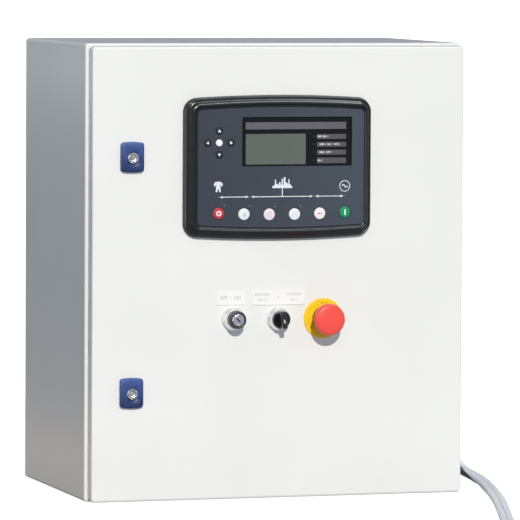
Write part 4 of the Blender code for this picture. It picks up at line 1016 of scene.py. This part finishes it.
def figure_outlines():
    """A standing figure's body and its two arms, about its middle."""
    half = [(0.0021, 0.0066), (0.0029, 0.0020), (0.0033, -0.0068), (0.0013, -0.0068),
            (0.0005, -0.0032)]
    arm = [(0.0019, 0.0064), (0.0043, 0.0058), (0.0058, 0.0035), (0.0056, 0.0006),
           (0.0041, 0.0006), (0.0026, 0.0034)]
    mirrored = [[(-x, z) for x, z in points] for points in (half, arm)]
    return [half + mirrored[0][::-1], arm, mirrored[1]]


def build_fascia_prints():
    """The mimic diagram, its three icons and its lamps."""
    low, high = FASCIA_PROUD + 0.00001, FASCIA_PROUD + 0.00007
    line, back, wide = 0.3857, 0.0028, 0.0017
    outlines = []
    for left, right in ((-0.0799, -0.0440), (-0.0383, 0.0413), (0.0470, 0.0825)):
        outlines.append(bar(left + back, right - back, line - 0.0005, line + 0.0005))
        for end, way in ((left, -1), (right, 1)):
            foot = end - way * back
            outlines.append([(end + way * 0.0012, line), (foot, line + wide), (foot, line - wide)])
    x, base, eaves = 0.0018, 0.3964, 0.3994
    outlines.append(bar(x - 0.0006, x + 0.0006, line + 0.0005, base))
    outlines.append(rounded_outline(x - 0.0132, x + 0.0132, base, eaves, 0.0008, 3))
    steps = (
        (-0.0106, 0.4012), (-0.0099, 0.4074), (-0.0083, 0.4018), (-0.0054, 0.4006),
        (-0.0044, 0.4040), (-0.0022, 0.4008), (-0.0011, 0.4082), (0.0008, 0.4010),
        (0.0019, 0.4102), (0.0042, 0.4034), (0.0068, 0.4012), (0.0080, 0.4076),
        (0.0094, 0.4014), (0.0112, eaves),
    )
    skyline = [(x - 0.0106, eaves)]
    for (left, top), (right, _) in zip(steps, steps[1:]):
        skyline += [(x + left, top), (x + right, top)]
    outlines.append([*skyline, (x + 0.0112, eaves)])
    x, z = -0.0831, 0.3988
    outlines += [[(x + dx, z + dz) for dx, dz in outline] for outline in figure_outlines()]
    x, z = 0.0852, 0.3984
    wave = [(x - 0.0038 + 0.0076 * i / 16, z + 0.0018 * math.sin(math.pi * 2 * i / 16))
            for i in range(17)]
    outlines.append(stroke(wave, 0.0012))
    shape = merged([flat(outlines, low, high), ring((x, z), 0.0063, 0.0072, low, high)])
    piece("mimic_print", shape, label_print(226, 230, 238))

    keys = key_places()
    lamps = [(x, line) for x in (-0.0822, -0.0406, 0.0443, 0.0855)]
    sockets = [ring(place, 0.00115, 0.0019, low, low + 0.00004, 24) for place in lamps]
    lamps += [(keys[name][0] + 0.0078, keys[name][1] + 0.0102) for name in MODE_KEYS[:4]]
    piece("lamp_lenses", merged([dome(place, FASCIA_PROUD, 0.0011, 0.0004) for place in lamps]),
          label_print(104, 110, 122))
    piece("lamp_surrounds", merged(sockets), label_print(46, 51, 60))
    # Painted shade: a thin dark ring on the overlay round each key, where its gap lies in shade.
    gap_shades = [
        ring(place, key_radius(name) + SEAT, key_radius(name) + 0.0011, low, low + 0.00003)
        for name, place in keys.items()
    ]
    piece("key_gap_shade", merged(gap_shades), label_print(38, 44, 55))


def build_controller_rear():
    """Plug-in connectors, vents painted as dark shade, and corner clips behind the door."""
    fx, fz = FASCIA_CENTRE
    back = DOOR_FRONT + CASE_BEHIND
    pitch, gap = 0.0051, 0.006
    blocks, screws = [], []
    for row, ways in ((-1, (12, 16)), (1, (9, 8, 6))):
        left = fx - (sum(ways) * pitch + (len(ways) - 1) * gap) / 2
        z = fz + row * 0.046
        for count in ways:
            right = left + count * pitch
            blocks.append(box((left, back + SEAT, z - 0.006), (right, back + 0.009, z + 0.006)))
            screws += [(left + (i + 0.5) * pitch, back + 0.009, z + row * 0.002)
                       for i in range(count)]
            left = right + gap
    piece("rear_connectors", merged(blocks), moulded("connector_green"))
    heads("rear_connector_screws", screws, [(0.0017, 0.0), (0.0017, 0.0006), (0.0012, 0.0009)],
          axis=INWARD, segments=12)
    inside = DOOR_FRONT + DOOR_SHEET
    clips = []
    for side, level in FOUR_CORNERS:
        x = fx + side * (CASE_SIZE[0] / 2 + 0.0064)
        z = fz + level * 0.052
        clips += [
            box((x - 0.0060, inside + SEAT, z - 0.007), (x + 0.0060, inside + 0.0022, z + 0.007)),
            turned([(0.0028, 0.0022), (0.0028, 0.0190), (0.0018, 0.0200)], (x, inside, z), 16,
                   INWARD),
        ]
    piece("controller_clips", merged(clips), zinc())
    # Painted shade: thin black slabs on the case's back stand for the shade in its vent slots.
    vent_shades = [box((x, back - 0.0001, fz - 0.018), (x + 0.004, back + 0.0004, fz + 0.022))
             for x in (fx - 0.050 + i * 0.010 for i in range(11))]
    piece("case_vent_shade", merged(vent_shades), moulded("hole_shade"))


# Locks


def build_locks():
    width, height = 0.0304, 0.0356
    for level, z in LOCK_HEIGHTS.items():
        at = on_door(LOCK_X, z)
        loops = []
        for out, inset in ((SEAT, 0), (0.0036, 0), (0.0044, 0.0002), (0.0050, 0.0007),
                           (0.0055, 0.0014), (0.0058, 0.0026)):
            outline = bulged_outline(
                width - 2 * inset, height - 2 * inset, 0.0015, 0.0032,
                (LOCK_X - 0.0004, z + 0.0011), 6, 14,
            )
            loops.append([on_door(px, pz, out) for px, pz in outline])
        for radius, out in ((0.0092, 0.0058), (0.0088, 0.0055), (0.0084, 0.0053),
                            (0.0080, 0.0053), (0.0080, SEAT)):
            loops.append(aligned_circle(loops[0], at, radius, out))
        neck = turned([(0.0105, -SEAT), (0.0105, -0.0170), (0.0080, -0.0170), (0.0080, -SEAT)],
                      at, 48, closed=True)
        piece(f"lock_plate_{level}", merged([loft(loops, closed=True), neck]), lock_blue(z),
              "door", [f"lock_housing_{level}"], 40)
        build_lock_insert(level, at, z)


def aligned_circle(outline, centre, radius, out):
    """A circle whose points lie in the directions of an outline's points."""
    angles = [math.atan2(point.z - centre.z, point.x - centre.x) for point in outline]
    return [centre + Vector((radius * math.cos(a), -out, radius * math.sin(a))) for a in angles]


def build_lock_insert(level, at, z):
    """The barrel with the double bit in its recess, and the screw that holds the cam."""
    top = 0.0070
    body = f"lock_{level}_insert"
    barrel = turned([
        (0.0020, 0.0029), (0.0044, 0.0029), (0.0045, 0.0031), (0.0045, top - 0.0022),
        (0.0051, top - 0.0010), (0.0059, top - 0.0001), (0.0065, top), (0.0071, top - 0.0006),
        (0.0075, top - 0.0018), (0.0075, 0.0003), (0.0075, -0.0215), (0.0020, -0.0215),
    ], at, closed=True)
    bits = slab(
        (LOCK_X - 0.0011, LOCK_X + 0.0011, z - 0.0035, z + 0.0035),
        ((0.0, 0.0026, 0.0006), (0.0, 0.0054, 0.0006), (0.0003, 0.0058, 0.0006)),
    )
    pin = turned([(0.0021, 0.0026), (0.0021, 0.0056), (0.0017, 0.0059)], at, 24)
    square = box((LOCK_X - 0.0035, at.y + 0.0215, z - 0.0035),
                 (LOCK_X + 0.0035, CAM_REAR + 0.0030, z + 0.0035))
    piece(f"lock_barrel_{level}", merged([barrel, bits, pin, square]), chrome(), body,
          [f"lock_insert_{level}"])
    recess = turned([(0.0020, 0.0030), (0.0044, 0.0030), (0.0044, 0.0050), (0.0020, 0.0040)], at,
                    40, closed=True)
    piece(f"lock_recess_{level}", recess, zinc(), body)
    screw = turned([(0.0045, 0.0), (0.0045, 0.0020), (0.0040, 0.0025), (0.0005, 0.0025)],
                   (LOCK_X, CAM_REAR + 0.0030, z), 36, INWARD, corners=6)
    piece(f"lock_screw_{level}", screw, zinc(), body)


# Key switch, selector and emergency stop


def ring_profile(head):
    return [
        (DEVICE_SHANK_RADIUS, -0.0120), (DEVICE_SHANK_RADIUS, SEAT), (0.0145, SEAT),
        (0.0147, 0.0006), (0.0147, 0.0044), (0.0145, 0.0050), (0.0138, 0.0060),
        (0.0131, 0.0070), (head + 0.0010, 0.0094), (head + 0.0006, 0.0110),
        (head + 0.0004, 0.0120), (head + 0.0002, RING_PROUD),
    ]


def build_key_switch():
    place = DEVICES["key_switch"]
    at = on_door(*place)
    head, top = KEY_HEAD_RADIUS, 0.0225
    front = top + 0.0014
    sunk = front - 0.0004
    base = turned([*ring_profile(head), (0.0090, RING_PROUD), (0.0090, -0.0120)], at, closed=True)
    piece("key_switch_ring", base, chrome(), "door", ["key_switch_body"])
    collar = turned([
        (head - 0.0002, RING_PROUD + 0.0001), (head, RING_PROUD + 0.0006), (head, top - 0.0014),
        (head - 0.0003, top - 0.0006), (head - 0.0010, top - 0.0001), (head - 0.0016, top),
        (0.0092, top), (0.0085, top - 0.0004), (0.0081, top - 0.0012), (0.0081, 0.0040),
        (0.0088, 0.0040), (0.0088, RING_PROUD + 0.0001),
    ], at, closed=True)
    piece("key_switch_collar", collar, moulded("collar_grey"))
    barrel = turned([
        (0.0078, 0.0043), (0.0078, top + 0.0002), (0.0075, top + 0.0008),
        (0.0069, front - 0.0002), (0.0060, front), (0.0056, front), (0.0053, sunk),
        (0.0050, sunk), (0.0010, sunk),
    ], at)
    piece("key_barrel_face", barrel, chrome(), "key_barrel", ["key_switch_barrel"])
    plug = ring(place, 0.0030, 0.0034, sunk, front - 0.0001, 32)
    piece("key_slot_plug", plug, chrome(), "key_barrel")
    # Painted shade: a thin black slab in the barrel's face stands for the shade in the keyway.
    slot = leaned(rounded_outline(-0.0009, 0.0009, -0.0036, 0.0036, 0.0005, 4), 45)
    shape = flat([slot], front - 0.00039, front - 0.00005, place)
    piece("key_slot_shade", shape, moulded("hole_shade"), "key_barrel")


def build_selector():
    place = DEVICES["selector"]
    at = on_door(*place)
    head, front, lean = HEAD_RADIUS, 0.0270, 10
    base = turned([
        *ring_profile(head), (0.0110, RING_PROUD - 0.0004), (0.0108, 0.0098), (0.0080, 0.0096),
        (0.0080, -0.0120),
    ], at, closed=True)
    piece("selector_ring", base, chrome(), "door", ["selector_body"])
    hub = turned([
        (0.0102, 0.0099), (0.0102, 0.0128), (head - 0.0004, 0.0128), (head, 0.0132),
        (head, 0.0150), (head - 0.0003, 0.0156), (head - 0.0010, 0.0160),
        (head - 0.0018, 0.0160), (head - 0.0024, 0.0156), (0.0020, 0.0156),
    ], at)
    half_x, half_z = 0.0038, 0.0118
    loops = []
    for out, inset in ((0.0150, 0.0), (0.0165, 0.0), (0.0200, 0.0002), (0.0240, 0.0004),
                       (0.0256, 0.0007), (0.0265, 0.0011), (front, 0.0017)):
        outline = rounded_outline(
            -half_x + inset, half_x - inset, -half_z + inset, half_z - inset, 0.0018 - inset / 2
        )
        loops.append([on_door(place[0] + x, place[1] + z, out) for x, z in leaned(outline, lean)])
    piece("selector_handle_piece", merged([hub, loft(loops)]), moulded("gloss_black"),
          "selector_handle", ["selector_knob"], 50)
    mark = leaned(bar(-0.0006, 0.0006, -0.0038, 0.0007), lean)
    piece("selector_mark", flat([mark], front + 0.00001, front + 0.00006, place),
          label_print(240, 242, 246), "selector_handle")


def build_emergency_stop():
    at = on_door(*DEVICES["estop"])
    disc = turned([
        (0.0112, SEAT), (0.0254, SEAT), (0.0256, 0.0006), (0.0256, 0.0014), (0.0252, 0.0021),
        (0.0244, 0.0024), (0.0232, 0.0024), (0.0230, 0.0022), (0.0226, 0.0022), (0.0224, 0.0024),
        (0.0172, 0.0024), (0.0170, 0.0022), (0.0166, 0.0022), (0.0164, 0.0024), (0.0112, 0.0024),
    ], at, 96, closed=True)
    piece("estop_legend_disc", disc, moulded("disc_yellow"), "door",
          ["estop_disc"])
    marks, radius = [], 0.0198
    for start in (60, 180, 300):
        marks.append(stroke(arc((0, 0), radius, start, start + 34, 10), 0.0007))
        (x, z), tip = arc((0, 0), radius, start + 33, start + 42, 1)
        nx, nz = x / radius * 0.0013, z / radius * 0.0013
        marks.append([(x + nx, z + nz), tip, (x - nx, z - nz)])
    arrows = flat(marks, 0.00241, 0.00247, DEVICES["estop"])
    piece("estop_disc_arrows", arrows, label_print(190, 162, 26))
    collar = turned([
        (DEVICE_SHANK_RADIUS, -0.0120), (DEVICE_SHANK_RADIUS, 0.0027), (0.0148, 0.0027),
        (0.0150, 0.0031), (0.0150, 0.0084), (0.0148, 0.0096), (0.0143, 0.0105),
        (0.0134, 0.0111), (0.0126, 0.0112), (0.0080, 0.0112), (0.0074, 0.0108),
        (0.0073, 0.0100), (0.0073, -0.0080), (0.0050, -0.0120),
    ], at, closed=True)
    piece("estop_collar", collar, moulded("gloss_black"), "door",
          ["estop_body"])
    stem = turned([(0.0066, -0.0010), (0.0070, 0.0), (0.0070, 0.0233), (0.0068, 0.0235)], at)
    piece("estop_stem_piece", stem, moulded("gloss_black"), "estop_stem",
          ["estop_plunger"])
    edge, back, front = 0.0200, 0.0185, 0.0345
    head = turned([
        (0.0073, 0.0238), (0.0073, back + 0.0002), (0.0076, back), (edge - 0.0046, back),
        (edge - 0.0036, back + 0.0006), (edge - 0.0018, back + 0.0024),
        (edge - 0.0006, back + 0.0044), (edge, back + 0.0062), (edge, front - 0.0050),
        (edge - 0.0002, front - 0.0038), (edge - 0.0007, front - 0.0028),
        (edge - 0.0015, front - 0.0019), (edge - 0.0026, front - 0.0013),
        (edge - 0.0045, front - 0.0009), (edge - 0.0080, front - 0.0005),
        (edge * 0.4, front - 0.0002), (edge * 0.15, front),
    ], at, 96)
    piece("estop_mushroom_piece", head, moulded("stop_red"), "estop_mushroom",
          ["estop_head"], 60)


def build_device_rears():
    spots, rear = DEVICES.values(), DOOR_FRONT + 0.0483
    nuts = [turned([(0.0112, -0.0018), (0.0140, -0.0018), (0.0145, -0.0023), (0.0145, -0.0056),
                    (0.0140, -0.0061), (0.0112, -0.0061)], on_door(x, z), 48, closed=True)
            for x, z in spots]
    piece("device_nuts", merged(nuts), zinc())
    places = [(x + side * 0.0075, rear, z + level * 0.0080)
              for x, z in spots for side, level in FOUR_CORNERS]
    heads("contact_screws", places, [(0.0026, -0.0002), (0.0026, 0.0006), (0.0020, 0.0009)],
          axis=INWARD)
    labels = [box((x - 0.0130, rear + 0.0001, z - 0.0022), (x + 0.0130, rear + 0.0003, z + 0.0022))
              for x, z in spots]
    piece("contact_labels", merged(labels), label_print(66, 128, 92))


def build_legends():
    grey = label_print(172, 175, 180)
    lettering(
        "key_switch_lettering", [("OFF", -0.0092, 0.0), ("/", 0.0, 0.0), ("ON", 0.0090, 0.0)],
        (-0.0643, LEGEND_HEIGHT), 0.0042, grey,
    )
    side, rise = 0.0212, 0.0034
    lettering(
        "selector_lettering",
        [("POSITION", -side, rise), ("OFF  0", -side, -rise), ("0", 0.0, 0.0),
         ("POSITION", side, rise), ("ON  1", side, -rise)],
        (-0.0009, LEGEND_HEIGHT), 0.0031, grey,
    )


# Gland and interior


def build_gland():
    axis = (1, 0, 0)
    bore, thread, seat = 0.0095, 0.0124, 0.0083
    base = merged([
        nut(GLAND, axis, 0.0173, bore, SEAT, seat),
        turned([(bore, -0.0115), (0.0118, -0.0115), (thread, -0.0107), (thread, SEAT),
                (bore, SEAT)], GLAND, 48, axis, closed=True),
        turned([(bore, seat), (thread, seat), (thread, 0.0185), (bore, 0.0185)], GLAND, 48, axis,
               closed=True),
    ])
    grey = moulded("gland_polyamide")
    made = [piece("gland_base", base, grey, "cabinet", ["cable_gland"])]
    start, end = seat + SEAT, 0.0266
    segments, lobes = 96, 16
    loops = []
    for radius, along, flute in (
        (0.0127, start, 0.0), (0.0158, start, 0.0), (0.0165, start + 0.0008, 0.0),
        (0.0165, start + 0.0020, 0.5), (0.0165, end - 0.0090, 1.0), (0.0162, end - 0.0070, 0.4),
        (0.0156, end - 0.0045, 0.0), (0.0146, end - 0.0022, 0.0), (0.0132, end - 0.0006, 0.0),
        (0.0120, end, 0.0), (0.0106, end, 0.0), (0.0101, end - 0.0008, 0.0),
        (0.0101, end - 0.0060, 0.0), (0.0127, end - 0.0060, 0.0),
    ):
        loop = []
        for i in range(segments):
            angle = 2 * math.pi * i / segments
            reach = radius - 0.0006 * flute * (0.5 + 0.5 * math.cos(lobes * angle))
            spoke = Vector((along, reach * math.cos(angle), reach * math.sin(angle)))
            loop.append(Vector(GLAND) + spoke)
        loops.append(loop)
    made.append(piece("gland_nut", loft(loops, closed=True), grey, "cabinet",
                      ["gland_dome_nut"], 50))
    seal = turned([(0.0100, 0.0190), (0.0100, end - 0.0012), (0.0094, end - 0.0006),
                   (0.0010, end - 0.0006)], GLAND, 48, axis)
    made.append(piece("gland_seal", seal, foam(), "cabinet"))
    return made


def build_interior():
    """Fasteners, terminals and labels of what hangs on the mounting plate."""
    nuts = [nut((x, PLATE_FRONT, z), OUTWARD, 0.0075, 0.0043, 0.0003, 0.0062)
            for x, z in STUD_PLACES]
    piece("stud_nuts", merged(nuts), zinc(), "cabinet")
    build_breaker_face()
    build_strip_screws()
    x, z = CHARGER
    foot = PLATE_FRONT - SEAT
    front = foot - 0.052
    plate = box((x - 0.036, front - 0.0003, z + 0.030), (x + 0.036, front - 0.00002, z + 0.046))
    piece("charger_plate", plate, label_print(205, 208, 210), "cabinet")
    block = box((x - 0.030, front - 0.008, z - 0.050), (x + 0.030, front - 0.0002, z - 0.038))
    piece("charger_terminals", block, moulded("connector_green"), "cabinet")
    screws = [turned([(0.0022, 0.0), (0.0022, 0.0007), (0.0016, 0.0010)],
                     (x - 0.0250 + i * 0.0100, front - 0.0080, z - 0.044), 16) for i in range(6)]
    screws += [turned([(0.0035, 0.0), (0.0035, 0.0016), (0.0024, 0.0024), (0.0003, 0.0026)],
                      (x + side * 0.030, foot - 0.0020, z + level * 0.0625), 20)
               for side, level in FOUR_CORNERS]
    piece("charger_screws", merged(screws), zinc(), "cabinet")


def build_breaker_face():
    shoulder = PLATE_FRONT - 0.0081 - 0.044
    nose = shoulder - 0.0162
    poles = [BREAKER_X + (i - 1) * 0.0178 for i in range(3)]
    heads("breaker_screws", [(x, shoulder, RAIL_Z + z) for x in poles for z in (-0.0365, 0.0365)],
          [(0.0036, 0.0), (0.0036, 0.0004), (0.0030, 0.0007)], "cabinet", segments=20)
    low, high = RAIL_Z - 0.0205, RAIL_Z - 0.0150
    labels = [box((x - 0.0070, nose, low), (x + 0.0070, nose + 0.00019, high)) for x in poles]
    piece("breaker_labels", merged(labels), label_print(196, 198, 200), "cabinet")
    front = PLATE_FRONT - 0.0081 - 0.062
    heads("relay_dial", [(RELAY_X, front, RAIL_Z - 0.004)],
          [(0.0058, 0.0), (0.0058, 0.0012), (0.0052, 0.0016), (0.0010, 0.0016)], "cabinet",
          segments=32, material=label_print(222, 150, 40))
    heads("relay_lamps", [(RELAY_X + dx, front, RAIL_Z + 0.009) for dx in (-0.005, 0.005)],
          [(0.0013, 0.0), (0.0012, 0.0005), (0.0006, 0.0009)], "cabinet",
          material=label_print(90, 170, 90))


def build_strip_screws():
    x, z = STRIP
    ways, pitch, wall = 12, 0.013, 0.0025
    left = x - (ways * pitch + wall) / 2
    floor = PLATE_FRONT - SEAT - 0.011
    places = [(left + wall / 2 + (i + 0.5) * pitch, floor, z + dz)
              for i in range(ways) for dz in (-0.0088, 0.0088)]
    heads("strip_screws", places, [(0.0038, 0.0), (0.0038, 0.0012), (0.0032, 0.0018),
                                   (0.0004, 0.0019)], "cabinet", segments=20)


# Finishes of the CAD nodes that stay


def dress_nodes():
    finishes = {
        paint(): ("cabinet_body", "door_panel"),
        galvanised(): ("gland_plate", "mounting_plate"),
        zinc(): (
            "din_rail", "battery_charger",
            *(f"{part}_{level}" for level in LOCK_HEIGHTS for part in (
                "hinge_bracket", "hinge_pin", "hinge_leaf", "lock_nut", "lock_cam"
            )),
        ),
        foam(): ("door_gasket",),
        fascia_grey(): ("controller_fascia",),
        moulded("case_black"): ("controller_case", "terminal_strip"),
        moulded("engraved_plate"): ("key_switch_legend", "selector_legend"),
        moulded("breaker_white"): ("circuit_breaker",),
        moulded("gloss_black"): ("breaker_toggle",),
        moulded("gland_polyamide"): ("gland_locknut",),
        moulded("moulded_grey"): (
            "control_relay", *(f"{name}_contact_block" for name in DEVICES),
        ),
    }
    for material, nodes in finishes.items():
        for name in nodes:
            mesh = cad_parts[name].data
            mesh.materials.clear()
            mesh.materials.append(material)


def light(name, kind, energy, toward, spot=(0.0, 0.0, 0.0), **settings):
    """A light at a spot that shines along a direction."""
    data = bpy.data.lights.new(name, kind)
    data.energy = energy
    for key, value in settings.items():
        setattr(data, key, value)
    lamp = bpy.data.objects.new(name, data)
    lamp.location = spot
    lamp.rotation_euler = Vector(toward).to_track_quat("-Z", "Y").to_euler()
    bpy.context.collection.objects.link(lamp)
    return lamp


def build_floor():
    finish = Finish("floor", 0.9, Emission_Strength=0.8, Emission_Color=(1.0, 1.0, 1.0, 1.0))
    finish.mottle((0.90, 0.90, 0.90), (0.92, 0.92, 0.92), 0.7, 4, 0.3)
    mesh = bpy.data.meshes.new("floor")
    corners = [(x * 200, y * 200, -0.0004) for x, y in ((-1, -1), (1, -1), (1, 1), (-1, 1))]
    mesh.from_pydata(corners, [], [(0, 1, 2, 3)])
    mesh.materials.append(finish.material)
    floor = bpy.data.objects.new("floor", mesh)
    bpy.context.collection.objects.link(floor)
    floor.visible_diffuse = False
    floor.visible_glossy = False


def build_world():
    """A dim sky that is brighter towards the right front and bluer above."""
    world = bpy.data.worlds.new("studio")
    bpy.context.scene.world = world
    world.use_nodes = True
    tree = world.node_tree
    sky = tree.nodes["Background"]
    way = Wire(tree).node("ShaderNodeTexCoord", {}, out="Generated")
    level = way.node(
        "ShaderNodeVectorMath", {0: way, 1: (0.10, -0.085, 0.0)}, out="Value",
        operation="DOT_PRODUCT",
    )
    tree.links.new((level + 0.315).socket, sky.inputs["Strength"])
    rise = way.node("ShaderNodeSeparateXYZ", {0: way}, out="Z")
    tint = way.node(
        "ShaderNodeMix",
        {0: rise * 0.5 + 0.5, 6: (0.97, 1.0, 1.04, 1.0), 7: (0.80, 1.0, 1.24, 1.0)}, out=2,
        data_type="RGBA",
    )
    tree.links.new(tint.socket, sky.inputs["Color"])


def build_lights():
    light("key_light", "SUN", 2.7, (0.14, 1.0, -0.535), angle=math.radians(1.6),
          color=(0.985, 0.925, 0.835))
    light("rear_fill", "SUN", 0.9, (-0.6, -0.8, 0.0), angle=math.radians(4),
          color=(1.0, 0.97, 0.93))
    # These two only make sheens on the glossy pieces.
    for name, spot, energy, width, height in (
        ("top_sheen", (0.25, -0.55, 1.25), 3.6, 0.7, 0.16),
        ("left_sheen", (-0.90, -0.45, 0.44), 2.6, 0.16, 0.7),
    ):
        aim = Vector((0.0, -0.18, 0.46)) - Vector(spot)
        lamp = light(name, "AREA", energy, aim, spot, shape="RECTANGLE", size=width,
                     size_y=height)
        lamp.visible_camera = False
        lamp.visible_diffuse = False
    # These two shade the cabinet's left side, warm at its foot.
    for name, height, energy, colour in (
        ("low_light", 0.025, 0.07, (1.0, 0.62, 0.40)),
        ("high_light", 0.550, 0.06, (0.95, 0.98, 1.0)),
    ):
        lamp = light(name, "AREA", energy, (1.0, 0.0, 0.0), (-0.36, 0.0, height),
                     shape="RECTANGLE", size=0.8, size_y=0.05, color=colour)
        lamp.visible_camera = False
    bpy.context.scene.view_settings.view_transform = "Standard"


# Floor and light


place_camera()
gland_pieces = build_gland()
for cable_name, cable_facts in CABLES.items():
    sheath, with_it = lay_cable(cable_name, cable_facts)
    GLAND[2] + cable_facts["side"] * CABLE_SPACING / 2
    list(gland_pieces if cable_name == "outer" else [])
build_bezel()
build_display()
build_keys()
build_fascia_prints()
build_controller_rear()
build_locks()
build_key_switch()
build_selector()
build_emergency_stop()
build_device_rears()
build_legends()
build_interior()
dress_nodes()
build_floor()
build_world()
build_lights()
